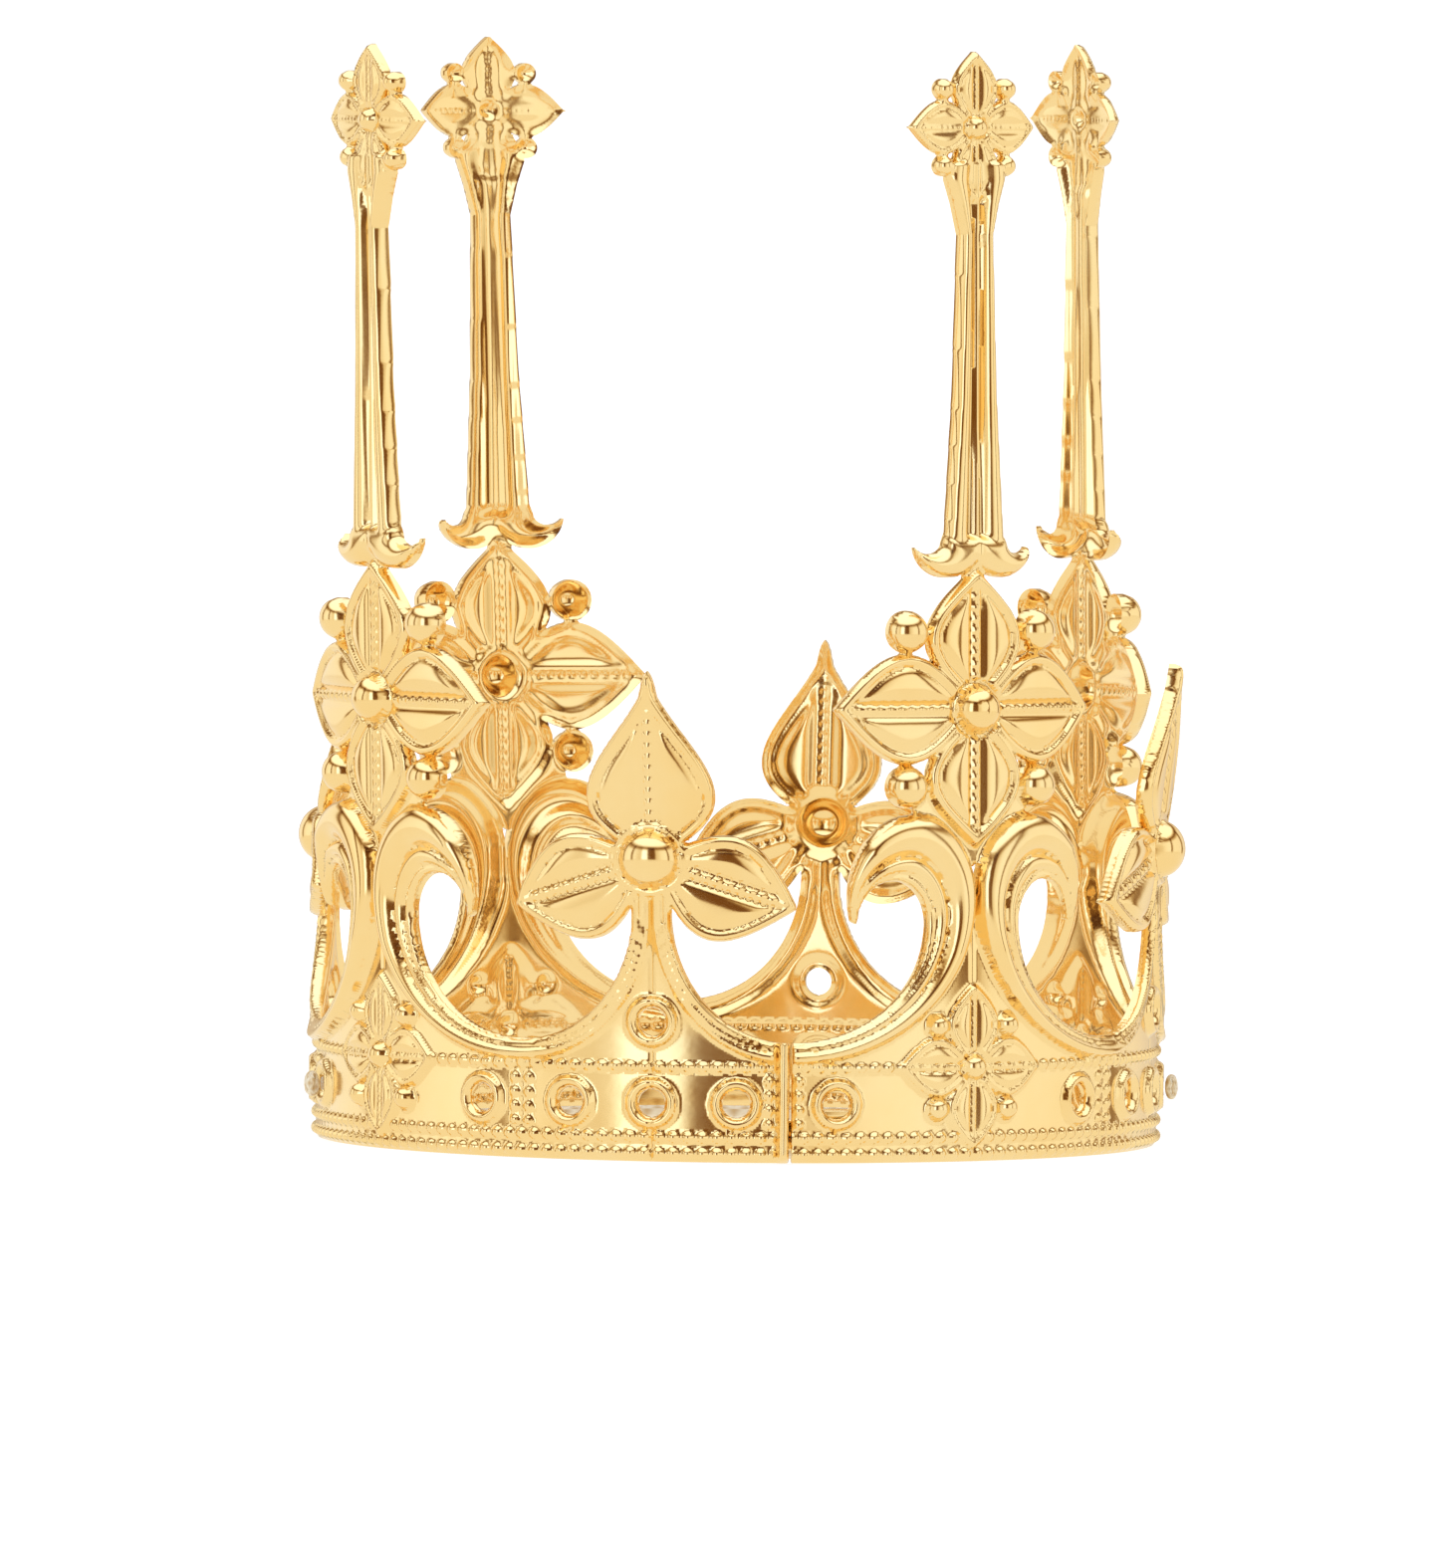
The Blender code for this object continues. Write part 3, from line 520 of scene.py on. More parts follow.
def seam_strip(s, z, height, fine):
    """The rounded strip down the front end of a half, with a bead column beside it."""
    strip = half_round(s + STRIP_MIDDLE, 0.66, STRIP_HEIGHT)
    strip = strip * ease(-0.2, 0.5, z) * ease(BAND_HEIGHT + 0.9, BAND_HEIGHT + 0.3, z)
    near = (s > -STRIP_WIDTH) & (z < BAND_HEIGHT + 1.0)
    height = np.where(near, np.maximum(np.minimum(height, 0.1), strip), height)
    fine = np.where(near, -1.0, fine)
    return height, np.maximum(fine, bead_column(s + STRIP_COLUMN, z))


# ---- From height field to thin shell ----


def eroded(height, reach, cell):
    """The inner face of a wall of constant thickness behind a height field."""
    steps = int(math.ceil(reach / cell))
    padded = np.pad(height, steps, mode="edge")
    result = np.full(height.shape, 1e9)
    rows, columns = height.shape
    for i in range(-steps, steps + 1):
        for j in range(-steps, steps + 1):
            gap = (i * i + j * j) * cell * cell
            if gap > reach * reach:
                continue
            view = padded[steps + i : steps + i + rows, steps + j : steps + j + columns]
            result = np.minimum(result, view - math.sqrt(reach * reach - gap))
    return result


def softened(field, passes=1):
    """A field averaged with its neighbours, once per pass."""
    for _ in range(passes):
        for axis in (0, 1):
            before = np.roll(field, 1, axis)
            after = np.roll(field, -1, axis)
            field = (before + 2 * field + after) / 4
    return field


def marching_triangles(inside, cell):
    """Cuts the grid along inside = 0. Returns (grid coordinates of the vertices, triangles)."""
    rows, columns = inside.shape
    small = cell * 0.08
    field = np.where(np.abs(inside) < small, np.where(inside < 0, -small, small), inside)
    index = np.arange(rows * columns).reshape(rows, columns)
    a, b = index[:-1, :-1].ravel(), index[:-1, 1:].ravel()
    c, d = index[1:, 1:].ravel(), index[1:, :-1].ravel()
    flip = (np.add.outer(np.arange(rows - 1), np.arange(columns - 1)) % 2 == 0).ravel()
    first = np.where(flip[:, None], np.stack([a, b, c], 1), np.stack([a, b, d], 1))
    second = np.where(flip[:, None], np.stack([a, c, d], 1), np.stack([b, c, d], 1))
    triangles = np.vstack([first, second])
    value = field.ravel()
    positive = value[triangles] > 0
    count = positive.sum(1)
    whole = triangles[count == 3]
    cut = triangles[(count == 1) | (count == 2)]
    sign = positive[(count == 1) | (count == 2)]
    lone = sign.sum(1) == 1
    pivot = np.where(lone, sign.argmax(1), (~sign).argmax(1))
    rolled = np.stack([cut[np.arange(len(cut)), (pivot + k) % 3] for k in range(3)], 1)
    edges = np.vstack([rolled[:, [0, 1]], rolled[:, [0, 2]]])
    keys = np.sort(edges, axis=1)
    unique, back = np.unique(keys, axis=0, return_inverse=True)
    back = back.reshape(-1)
    v0, v1 = value[unique[:, 0]], value[unique[:, 1]]
    share = v0 / (v0 - v1)
    flat = np.arange(rows * columns)
    grid = np.stack([flat // columns, flat % columns], 1).astype(float)
    cut_points = grid[unique[:, 0]] + (grid[unique[:, 1]] - grid[unique[:, 0]]) * share[:, None]
    base = rows * columns
    e1, e2 = base + back[: len(cut)], base + back[len(cut) :]
    one = np.stack([rolled[:, 0], e1, e2], 1)[lone]
    two_a = np.stack([rolled[:, 1], rolled[:, 2], e2], 1)[~lone]
    two_b = np.stack([rolled[:, 1], e2, e1], 1)[~lone]
    triangles = np.vstack([whole, one, two_a, two_b])
    points = np.vstack([grid, cut_points])
    used, triangles = np.unique(triangles, return_inverse=True)
    return points[used], triangles.reshape(-1, 3)


def sampled(field, places):
    """A grid field read at fractional grid places."""
    rows, columns = field.shape
    i = np.clip(np.floor(places[:, 0]).astype(int), 0, rows - 2)
    j = np.clip(np.floor(places[:, 1]).astype(int), 0, columns - 2)
    u, v = places[:, 0] - i, places[:, 1] - j
    near = field[i, j] * (1 - v) + field[i, j + 1] * v
    far = field[i + 1, j] * (1 - v) + field[i + 1, j + 1] * v
    return near * (1 - u) + far * u


def lean_offset(s, z, panel_sets):
    """How far outwards each place stands because its panel leans and bends."""
    boundary = 0.0
    lean = np.full(s.shape, math.tan(math.radians(panel_sets[0][0])))
    bend = np.full(s.shape, math.tan(math.radians(panel_sets[0][1])))
    for index, (panel_lean, panel_bend) in enumerate(panel_sets[1:]):
        boundary -= 2 * (TREFOIL_HALF if index % 2 == 0 else TOWER_HALF)
        share = ease(boundary + 1.2, boundary - 1.2, s)
        lean = lean + (math.tan(math.radians(panel_lean)) - lean) * share
        bend = bend + (math.tan(math.radians(panel_bend)) - bend) * share
    above = np.maximum(z - BAND_HEIGHT, 0.0)
    past_bend = np.maximum(z - BEND_HEIGHT, 0.0)
    return above * above / (above + 4.0) * lean + past_bend * past_bend / (past_bend + 3.0) * bend


def wrapped(s, z, depth, panel_sets):
    """Places in metres of flat places wrapped onto the band, depth out from the band's face."""
    radius = BAND_RADIUS + depth + lean_offset(s, z, panel_sets)
    angle = s / BAND_RADIUS
    return np.stack([radius * np.sin(angle), -radius * np.cos(angle), z], 1) * MM


def shell_fields(s, z):
    """(outer height, inner height, inside) of a whole half over a grid of places."""
    length = math.pi * BAND_RADIUS
    height, inside, fine = (field.reshape(s.shape) for field in half_field(s.ravel(), z.ravel()))
    height, fine = seam_strip(s, z, height, fine)
    height = np.maximum(height, 0.0)
    trim = SEAM_GAP / 2
    in_band = z < BAND_HEIGHT + 1.5
    inside = np.where(in_band, np.minimum(inside, np.minimum(-trim - s, s + length - trim)), inside)
    inside = np.minimum(inside, z)
    back = softened(eroded(softened(height), WALL, CELL), 2)
    beads = np.maximum(fine - height, 0.0)
    height = height * 0.35 + softened(height) * 0.65 + beads
    back = back + 0.6 * beads
    # The outer face rounds off towards every edge.
    edge = np.clip(inside / EDGE_ROUND, 0.0, 1.0)
    return height - EDGE_DROP * (1 - np.sqrt(1 - (1 - edge) ** 2)), back, inside


def closed_faces(places, triangles):
    """Triangles of the outer face, of the inner face behind it and of the edges between the two."""
    # Rows run up and columns run along +s, so a triangle's turn decides which way it faces.
    corner = places[triangles]
    turn = np.cross(corner[:, 1] - corner[:, 0], corner[:, 2] - corner[:, 0])
    triangles = np.where((turn > 0)[:, None], triangles[:, ::-1], triangles)
    count = len(places)
    edges = np.vstack([triangles[:, [0, 1]], triangles[:, [1, 2]], triangles[:, [2, 0]]])
    low, high = edges.min(1), edges.max(1)
    _, first, times = np.unique(low * count + high, return_index=True, return_counts=True)
    border = edges[first[times == 1]]
    a, b = border[:, 0], border[:, 1]
    walls = np.vstack([np.stack([b, a, a + count], 1), np.stack([b, a + count, b + count], 1)])
    return np.vstack([triangles, triangles[:, ::-1] + count, walls])


def triangle_mesh(name, points, faces):
    """A Blender mesh of triangles, given as arrays of points and of corner numbers."""
    mesh = bpy.data.meshes.new(name)
    mesh.vertices.add(len(points))
    mesh.vertices.foreach_set("co", points.ravel())
    mesh.loops.add(faces.size)
    mesh.loops.foreach_set("vertex_index", faces.ravel().astype(np.int32))
    mesh.polygons.add(len(faces))
    mesh.polygons.foreach_set("loop_start", np.arange(len(faces), dtype=np.int32) * 3)
    mesh.update(calc_edges=True)
    mesh.validate()
    return mesh


def make_shell(name, panel_sets, material):
    """One half shell: its height field cut along its outline, given a back and wrapped onto the band."""
    length = math.pi * BAND_RADIUS
    columns = int(length / CELL) + 3
    rows = int((TOP + 1.0) / CELL) + 1
    s_axis = -length - CELL + np.arange(columns) * CELL
    z_axis = -1.0 + np.arange(rows) * CELL
    height, back, inside = shell_fields(*np.meshgrid(s_axis, z_axis))
    places, triangles = marching_triangles(inside, CELL)
    ps, pz = s_axis[0] + places[:, 1] * CELL, z_axis[0] + places[:, 0] * CELL
    front = wrapped(ps, pz, sampled(height, places), panel_sets)
    rear = wrapped(ps, pz, sampled(back, places), panel_sets)
    faces = closed_faces(places, triangles)
    mesh = triangle_mesh(name, np.vstack([front, rear]), faces)
    lay_out_uv(mesh, ps, pz, len(places), faces)
    mesh.shade_smooth()
    mesh.set_sharp_from_angle(angle=math.radians(SHARP_ANGLE))
    mesh.materials.append(material)
    shell = bpy.data.objects.new(name, mesh)
    bpy.context.scene.collection.objects.link(shell)
    return shell


def lay_out_uv(mesh, ps, pz, count, faces):
    """Front face in the lower half of the map and back face in the upper half, laid out as drawn."""
    span = math.pi * BAND_RADIUS + 2.0
    u = (ps + span) / span * 0.96 + 0.02
    v = (pz + 1.0) / (TOP + 2.0) * 0.46 + 0.02
    uv = np.zeros((2 * count, 2))
    uv[:count] = np.stack([u, v], 1)
    uv[count:] = np.stack([u, v + 0.49], 1)
    corners = uv[faces.ravel()]
    mixed = np.repeat((faces < count).any(1) & (faces >= count).any(1), 3)
    flat = faces.ravel() % count
    corners[mixed] = uv[flat[mixed]]
    layer = mesh.uv_layers.new(name="OFBake")
    layer.uv.foreach_set("vector", corners.astype(np.float32).ravel())


# ---- Straight pieces inside the seams ----


def bevelled_box(name, low, high, bevel, material):
    """A box between two corners with rounded edges."""
    mesh = bmesh.new()
    bmesh.ops.create_cube(mesh, size=1.0)
    bmesh.ops.scale(mesh, vec=[(b - a) * MM for a, b in zip(low, high)], verts=mesh.verts)
    bmesh.ops.translate(mesh, vec=[(a + b) / 2 * MM for a, b in zip(low, high)], verts=mesh.verts)
    bmesh.ops.bevel(mesh, geom=mesh.edges[:], offset=bevel * MM, segments=3, profile=0.5, affect="EDGES")
    data = bpy.data.meshes.new(name)
    mesh.to_mesh(data)
    mesh.free()
    data.shade_smooth()
    data.materials.append(material)
    obj = bpy.data.objects.new(name, data)
    bpy.context.scene.collection.objects.link(obj)
    return obj


def seam_fittings(side, material, turned):
    """The tongue past one end of a half and the sleeve inside its other end."""
    inner_radius = BAND_RADIUS - CAD_WALL
    outer = math.sqrt(inner_radius**2 - TONGUE_LENGTH**2) - SLIP_CLEARANCE
    inner = outer - TONGUE_THICKNESS
    low = SLEEVE_LIFT + SLEEVE_WALL + SLIP_CLEARANCE
    high = low + TONGUE_HEIGHT
    bite = BAND_RADIUS - WALL + 0.3
    root = -TONGUE_ROOT
    step = 0.1
    back = inner - SLIP_CLEARANCE
    floor, roof = low - SLIP_CLEARANCE, high + SLIP_CLEARANCE
    near = -SEAM_GAP - 0.3
    far = near - SLEEVE_LENGTH
    face = back - SLEEVE_WALL
    boxes = [
        ("tongue", (root, -outer, low), (TONGUE_LENGTH, -inner, high), 0.3),
        ("tongue_foot", (root + 0.2, -bite, low + step), (-0.9, -inner - 0.2, high - step), 0.2),
        ("sleeve_back", (far, face, floor - SLEEVE_WALL), (near, back, roof + SLEEVE_WALL), 0.25),
        ("sleeve_floor", (far + step, face + step, floor - SLEEVE_WALL), (near - step, bite, floor), 0.2),
        ("sleeve_roof", (far + step, face + step, roof), (near - step, bite, roof + SLEEVE_WALL), 0.2),
    ]
    pieces = [bevelled_box(f"{side}_{name}", *shape, material) for name, *shape in boxes]
    if turned:
        for piece in pieces:
            piece.data.transform(Matrix.Rotation(math.pi, 4, "Z"))
    return pieces


# ---- Materials ----


def node(tree, kind, **inputs):
    """Adds a shader node and sets its inputs, an underscore in a name standing for a space."""
    made = tree.nodes.new(kind)
    for key, value in inputs.items():
        made.inputs[key.replace("_", " ")].default_value = value
    return made


def gold_material(name):
    """Vacuum-metallised plastic: bright pale gold with moulding ripple, fine orange peel and faint haze."""
    material = bpy.data.materials.new(name)
    material.use_nodes = True
    tree = material.node_tree
    shader = tree.nodes["Principled BSDF"]
    shader.inputs["Metallic"].default_value = 1.0
    shader.inputs["Coat Weight"].default_value = 0.25
    shader.inputs["Coat Roughness"].default_value = 0.06
    where = tree.nodes.new("ShaderNodeTexCoord")
    ripple = node(tree, "ShaderNodeTexNoise", Scale=170.0, Detail=2.0, Roughness=0.45)
    peel = node(tree, "ShaderNodeTexNoise", Scale=900.0, Detail=1.0, Roughness=0.5)
    haze = node(tree, "ShaderNodeTexNoise", Scale=60.0, Detail=4.0, Roughness=0.6)
    for texture in (ripple, peel, haze):
        tree.links.new(where.outputs["Object"], texture.inputs["Vector"])
    colour = tree.nodes.new("ShaderNodeValToRGB")
    colour.color_ramp.elements[0].position = 0.3
    colour.color_ramp.elements[0].color = (0.985, 0.695, 0.275, 1.0)
    colour.color_ramp.elements[1].position = 0.7
    colour.color_ramp.elements[1].color = (1.0, 0.765, 0.365, 1.0)
    tree.links.new(haze.outputs["Fac"], colour.inputs["Fac"])
    tree.links.new(colour.outputs["Color"], shader.inputs["Base Color"])
    rough = node(tree, "ShaderNodeMapRange", From_Min=0.3, From_Max=0.7, To_Min=0.10, To_Max=0.19)
    tree.links.new(haze.outputs["Fac"], rough.inputs["Value"])
    tree.links.new(rough.outputs["Result"], shader.inputs["Roughness"])
    first = node(tree, "ShaderNodeBump", Strength=0.35, Distance=0.00012)
    second = node(tree, "ShaderNodeBump", Strength=0.25, Distance=0.00002)
    tree.links.new(ripple.outputs["Fac"], first.inputs["Height"])
    tree.links.new(peel.outputs["Fac"], second.inputs["Height"])
    tree.links.new(first.outputs["Normal"], second.inputs["Normal"])
    tree.links.new(second.outputs["Normal"], shader.inputs["Normal"])
    return material


def braid_material(name, scale_u, scale_v):
    """Cream braided elastic: two crossing sets of slanted threads, with painted shade in the hollows between
    them.
    """
    material = bpy.data.materials.new(name)
    material.use_nodes = True
    tree = material.node_tree
    shader = tree.nodes["Principled BSDF"]
    shader.inputs["Roughness"].default_value = 0.8
    shader.inputs["Sheen Weight"].default_value = 0.25
    where = tree.nodes.new("ShaderNodeTexCoord")
    waves = []
    for turn in (1.0, -1.0):
        mapping = tree.nodes.new("ShaderNodeMapping")
        mapping.inputs["Scale"].default_value = (scale_u, turn * scale_v, 1.0)
        wave = node(tree, "ShaderNodeTexWave", Scale=1.0, Distortion=0.6, Detail=1.0)
        wave.bands_direction = "DIAGONAL"
        tree.links.new(where.outputs["UV"], mapping.inputs["Vector"])
        tree.links.new(mapping.outputs["Vector"], wave.inputs["Vector"])
        waves.append(wave)
    weave = tree.nodes.new("ShaderNodeMath")
    weave.operation = "MAXIMUM"
    tree.links.new(waves[0].outputs["Fac"], weave.inputs[0])
    tree.links.new(waves[1].outputs["Fac"], weave.inputs[1])
    # Painted shade: the ramp runs from tan where the weave is low, in the hollows between threads where the
    # bump sinks, to cream on the threads.
    colour = tree.nodes.new("ShaderNodeValToRGB")
    colour.color_ramp.elements[0].color = (0.72, 0.50, 0.24, 1.0)
    colour.color_ramp.elements[1].color = (0.98, 0.87, 0.64, 1.0)
    tree.links.new(weave.outputs["Value"], colour.inputs["Fac"])
    tree.links.new(colour.outputs["Color"], shader.inputs["Base Color"])
    bump = node(tree, "ShaderNodeBump", Strength=0.8, Distance=0.0001)
    tree.links.new(weave.outputs["Value"], bump.inputs["Height"])
    tree.links.new(bump.outputs["Normal"], shader.inputs["Normal"])
    return material


# ---- Elastic and knots ----


def on_band(angle, depth, height):
    """The place, in metres, at an angle from the front seam and a depth inside the band's outer face."""
    turn = math.radians(angle)
    radius = BAND_RADIUS - depth
    return Vector((radius * math.sin(turn), -radius * math.cos(turn), height)) * MM


def smooth_route(points, steps):
    """A Catmull-Rom curve through the points, with that many steps between each two."""
    points = [2 * points[0] - points[1], *points, 2 * points[-1] - points[-2]]
    curve = []
    for p0, p1, p2, p3 in zip(points, points[1:], points[2:], points[3:]):
        for step in range(steps):
            t = step / steps
            square = (2 * p0 - 5 * p1 + 4 * p2 - p3) * t**2
            cube = (3 * p1 - p0 - 3 * p2 + p3) * t**3
            curve.append(0.5 * (2 * p1 + (p2 - p0) * t + square + cube))
    return curve + [points[-2]]


def tube_mesh(name, centres, radius, sides):
    """A tube along a line, its frame carried along without twist; u runs along it and v round it."""
    count = len(centres)
    ahead = centres[1:] + [2 * centres[-1] - centres[-2]]
    behind = [2 * centres[0] - centres[1]] + centres[:-1]
    tangents = [(a - b).normalized() for a, b in zip(ahead, behind)]
    normal = tangents[0].orthogonal().normalized()
    rings, travelled = [], [0.0]
    for index, (centre, tangent) in enumerate(zip(centres, tangents)):
        normal = (normal - tangent * normal.dot(tangent)).normalized()
        side = tangent.cross(normal)
        turns = [2 * math.pi * k / sides for k in range(sides)]
        rings.append([centre + (normal * math.cos(t) + side * math.sin(t)) * radius for t in turns])
        if index:
            travelled.append(travelled[-1] + (centre - centres[index - 1]).length)
    mesh = bmesh.new()
    layer = mesh.loops.layers.uv.new("OFBake")
    verts = [[mesh.verts.new(point) for point in ring_points] for ring_points in rings]
    for i in range(count - 1):
        for k in range(sides):
            corners = [(i, k), (i, k + 1), (i + 1, k + 1), (i + 1, k)]
            face = mesh.faces.new([verts[r][c % sides] for r, c in corners])
            for loop, (r, c) in zip(face.loops, corners):
                u = travelled[r] / travelled[-1]
                loop[layer].uv = (0.01 + 0.98 * u, 0.02 + 0.96 * c / sides)
    for ring_verts, u in ((verts[0][::-1], 0.005), (verts[-1], 0.995)):
        face = mesh.faces.new(ring_verts)
        for loop, k in zip(face.loops, range(sides)):
            loop[layer].uv = (u, 0.5 + 0.004 * k)
    bmesh.ops.recalc_face_normals(mesh, faces=mesh.faces[:])
    data = bpy.data.meshes.new(name)
    mesh.to_mesh(data)
    mesh.free()
    data.shade_smooth()
    obj = bpy.data.objects.new(name, data)
    bpy.context.scene.collection.objects.link(obj)
    return obj


def make_elastic(centres, material):
    """The chin elastic as one round tube along its route."""
    elastic = tube_mesh("elastic_braid", centres, ELASTIC_DIAMETER / 2 * MM, 14)
    elastic.data.materials.append(material)
    return elastic


def make_knot(name, centre, angle, material):
    """The elastic's end knotted over itself: four tight turns side by side across the hole."""
    turn = Matrix.Rotation(math.radians(angle), 3, "Z")
    strand, turns, steps = 0.36, 4, 28
    wide, deep = 1.0, 0.34
    centres = []
    for index in range(turns * steps + 1):
        phase = 2 * math.pi * index / steps
        along = (index / (turns * steps) - 0.5) * (turns - 1) * 2.05 * strand
        swell = 1.0 - 0.22 * (along / 1.2) ** 2
        local = Vector((along, deep * swell * math.sin(phase), wide * swell * math.cos(phase)))
        centres.append(centre + turn @ local * MM)
    knot = tube_mesh(name, centres, strand * MM, 12)
    knot.data.materials.append(material)
    return knot


# ---- Stage, light and camera ----

# The studio as the crown reflects it: brightness by compass direction, in degrees from the front
# towards +X, and by elevation. Softboxes are bright, and the gaps between them are dark.
STUDIO_ROUND = [
    (-180, 0.7),
    (-168, 0.75),
    (-160, 1.1),
    (-131, 1.15),
    (-124, 0.1),
    (-116, 1.1),
    (-84, 1.25),
    (-77, 0.04),
    (-70, 1.2),
    (-50, 0.95),
    (-42, 0.95),
    (-38, 1.6),
    (-22, 1.5),
    (-19, 0.22),
    (3, 0.18),
    (9, 0.9),
    (30, 1.15),
    (52, 1.2),
    (58, 0.04),
    (65, 1.15),
    (111, 1.1),
    (119, 0.1),
    (127, 1.1),
    (165, 0.75),
    (180, 0.7),
]
STUDIO_HEIGHT = [(-90, 0.95), (-12, 0.95), (-8, 0.9), (26, 0.9), (37, 0.12), (47, 1.25), (90, 1.3)]
DARK_FRONT_LOW = -7.0  # below this elevation the pale floor is all there is to reflect
SIDES_FADE = (34.0, 44.0)  # above these elevations only the overhead light counts
WARM_GREEN = 1.5  # powers of the brightness that give the green and the blue of the dim parts
WARM_BLUE = 2.3
STUDIO_STRENGTH = 1.0


def add_ramp(tree, stops, low, high):
    """A piecewise-linear brightness curve as a colour ramp over low to high."""
    ramp = tree.nodes.new("ShaderNodeValToRGB")
    elements = ramp.color_ramp.elements
    for _ in range(len(stops) - 2):
        elements.new(0.5)
    for element, (place, value) in zip(elements, stops):
        element.position = (place - low) / (high - low)
        element.color = (value, value, value, 1.0)
    return ramp


def studio_world():
    """The studio that the crown reflects, as a world lit by direction."""
    world = bpy.data.worlds.new("studio")
    world.use_nodes = True
    tree = world.node_tree
    where = tree.nodes.new("ShaderNodeTexCoord")
    split = tree.nodes.new("ShaderNodeSeparateXYZ")
    tree.links.new(where.outputs["Generated"], split.inputs["Vector"])

    def maths(operation, *values):
        made = tree.nodes.new("ShaderNodeMath")
        made.operation = operation
        for socket, value in zip(made.inputs, values):
            if isinstance(value, (int, float)):
                socket.default_value = value
            else:
                tree.links.new(value, socket)
        return made.outputs["Value"]

    toward_front = maths("MULTIPLY", split.outputs["Y"], -1.0)
    azimuth = maths("ARCTAN2", split.outputs["X"], toward_front)
    elevation = maths("ARCSINE", split.outputs["Z"])
    around = add_ramp(tree, STUDIO_ROUND, -180, 180)
    upward = add_ramp(tree, STUDIO_HEIGHT, -90, 90)
    tree.links.new(maths("MULTIPLY_ADD", azimuth, 0.5 / math.pi, 0.5), around.inputs["Fac"])
    tree.links.new(maths("MULTIPLY_ADD", elevation, 1.0 / math.pi, 0.5), upward.inputs["Fac"])
    # Round the horizon the compass direction counts, and above and below it the elevation does.
    low = math.sin(math.radians(DARK_FRONT_LOW))
    below = tree.nodes.new("ShaderNodeMapRange")
    below.interpolation_type = "SMOOTHSTEP"
    below.inputs["From Min"].default_value = low - 0.05
    below.inputs["From Max"].default_value = low + 0.03
    tree.links.new(split.outputs["Z"], below.inputs["Value"])
    above = tree.nodes.new("ShaderNodeMapRange")
    above.interpolation_type = "SMOOTHSTEP"
    above.inputs["From Min"].default_value = math.sin(math.radians(SIDES_FADE[1]))
    above.inputs["From Max"].default_value = math.sin(math.radians(SIDES_FADE[0]))
    tree.links.new(split.outputs["Z"], above.inputs["Value"])
    share = maths("MULTIPLY", below.outputs["Result"], above.outputs["Result"])
    mix = tree.nodes.new("ShaderNodeMix")
    mix.data_type = "RGBA"
    tree.links.new(share, mix.inputs["Factor"])
    tree.links.new(upward.outputs["Color"], mix.inputs["A"])
    both = tree.nodes.new("ShaderNodeMix")
    both.data_type = "RGBA"
    both.blend_type = "MULTIPLY"
    both.inputs["Factor"].default_value = 1.0
    tree.links.new(around.outputs["Color"], both.inputs["A"])
    tree.links.new(upward.outputs["Color"], both.inputs["B"])
    tree.links.new(both.outputs["Result"], mix.inputs["B"])
    # Dim parts of the studio are warm, because there the crown and its likes reflect one another.
    warmth = tree.nodes.new("ShaderNodeSeparateColor")
    tree.links.new(mix.outputs["Result"], warmth.inputs["Color"])
    glow = tree.nodes.new("ShaderNodeCombineColor")
    tree.links.new(warmth.outputs["Red"], glow.inputs["Red"])
    tree.links.new(maths("POWER", warmth.outputs["Red"], WARM_GREEN), glow.inputs["Green"])
    tree.links.new(maths("POWER", warmth.outputs["Red"], WARM_BLUE), glow.inputs["Blue"])
    tree.links.new(glow.outputs["Color"], tree.nodes["Background"].inputs["Color"])
    tree.nodes["Background"].inputs["Strength"].default_value = STUDIO_STRENGTH
    return world


def stage_object(name, mesh, base, emission):
    """A white stage piece that the camera sees and the crown doesn't reflect."""
    data = bpy.data.meshes.new(name)
    mesh.to_mesh(data)
    mesh.free()
    obj = bpy.data.objects.new(name, data)
    bpy.context.scene.collection.objects.link(obj)
    material = bpy.data.materials.new(name)
    material.use_nodes = True
    shader = material.node_tree.nodes["Principled BSDF"]
    shader.inputs["Base Color"].default_value = (base, base, base, 1.0)
    shader.inputs["Roughness"].default_value = 0.9
    shader.inputs["Specular IOR Level"].default_value = 0.0
    shader.inputs["Emission Color"].default_value = (1.0, 1.0, 1.0, 1.0)
    shader.inputs["Emission Strength"].default_value = emission
    data.materials.append(material)
    obj.visible_glossy = False
    obj.visible_diffuse = False
    obj.visible_shadow = False
    return obj


def set_stage():
    """A plain white floor and surround, for the camera only."""
    floor = bmesh.new()
    bmesh.ops.create_circle(floor, cap_ends=True, segments=64, radius=7.0)
    bmesh.ops.translate(floor, verts=floor.verts, vec=(0.0, 0.0, -0.0002))
    stage_object("floor", floor, 0.35, 0.86)
    surround = bmesh.new()
    bmesh.ops.create_uvsphere(surround, u_segments=48, v_segments=24, radius=7.5)
    stage_object("surround", surround, 0.0, 1.05)


# The view in degrees and metres: azimuth from the front seam towards +X, and the point aimed at as
# its distance left of the crown's axis and its height.
VIEW_AZIMUTH = -7.27
VIEW_ELEVATION = 2.45
VIEW_ROLL = 0.6
VIEW_DISTANCE = 2.67
AIM_LEFT = 0.00232
AIM_HEIGHT = 0.0376
FRAME_HEIGHT = 0.16612  # height of the picture at the crown's axis


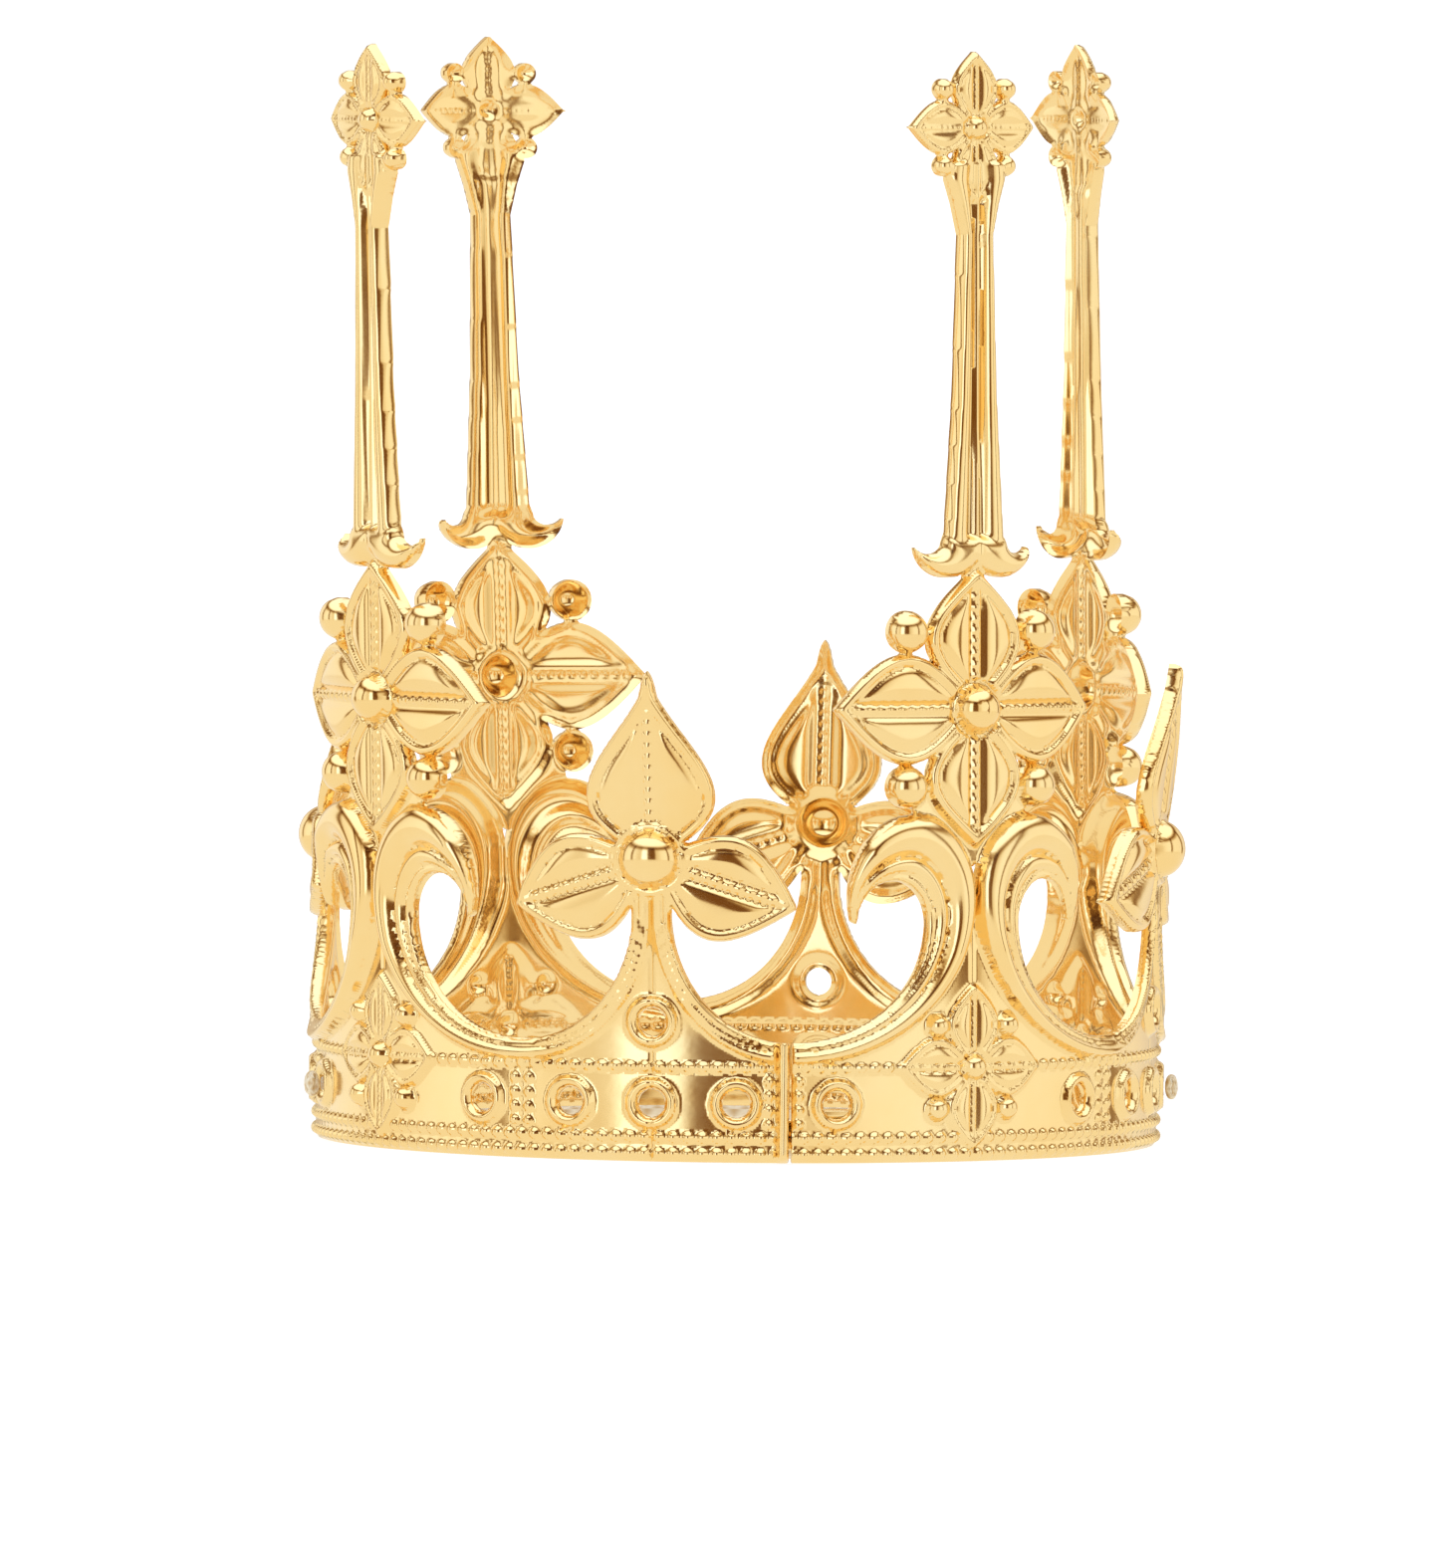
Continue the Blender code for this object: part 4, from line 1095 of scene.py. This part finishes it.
def set_camera():
    """A long lens, a little above the band and to the left of the front seam."""
    azimuth, elevation = math.radians(VIEW_AZIMUTH), math.radians(VIEW_ELEVATION)
    back = Vector((
        math.sin(azimuth) * math.cos(elevation),
        -math.cos(azimuth) * math.cos(elevation),
        math.sin(elevation),
    ))
    right = Vector((math.cos(azimuth), math.sin(azimuth), 0.0))
    data = bpy.data.cameras.new("camera")
    camera = bpy.data.objects.new("camera", data)
    bpy.context.scene.collection.objects.link(camera)
    aim = Vector((0.0, 0.0, AIM_HEIGHT)) - right * AIM_LEFT
    camera.location = aim + back * VIEW_DISTANCE
    roll = Matrix.Rotation(math.radians(VIEW_ROLL), 4, "Z")
    camera.rotation_euler = ((-back).to_track_quat("-Z", "Y").to_matrix().to_4x4() @ roll).to_euler()
    data.sensor_width = 36.0
    data.lens = data.sensor_width * VIEW_DISTANCE / FRAME_HEIGHT
    data.clip_start, data.clip_end = 0.1, 30.0
    bpy.context.scene.camera = camera


def set_light():
    """Light comes from the studio world alone."""
    scene = bpy.context.scene
    scene.view_settings.view_transform = "Standard"
    scene.view_settings.look = "None"
    scene.world = studio_world()
    set_stage()


def main():
    set_camera()
    gold = {side: gold_material(f"{side}_gold_plastic") for side in ("left", "right")}
    for side, leans, turned in (("left", PANEL_SETS_LEFT, False), ("right", PANEL_SETS_RIGHT, True)):
        shell = make_shell(f"{side}_shell", leans, gold[side])
        if turned:
            shell.data.transform(Matrix.Rotation(math.pi, 4, "Z"))
        pieces = [shell] + seam_fittings(side, gold[side], turned)
        for piece in pieces:
            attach(piece, f"{side}_half")
        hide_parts(f"{side}_half_shell")

    for side, stop in (("left", ELASTIC_ROUTE[0]), ("right", ELASTIC_ROUTE[-1])):
        low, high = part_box(f"{side}_knot")
        cream = braid_material(f"{side}_knot_cream", *KNOT_WEAVE)
        knot = make_knot(f"{side}_knot_braid", (low + high) / 2, stop[0], cream)
        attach(knot, f"{side}_half")
        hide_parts(f"{side}_knot")

    route = smooth_route([on_band(*stop) for stop in ELASTIC_ROUTE], ROUTE_STEPS)
    elastic = make_elastic(route, braid_material("elastic_cream", *ELASTIC_WEAVE))
    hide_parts("chin_elastic")
    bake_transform(elastic)
    set_light()


main()
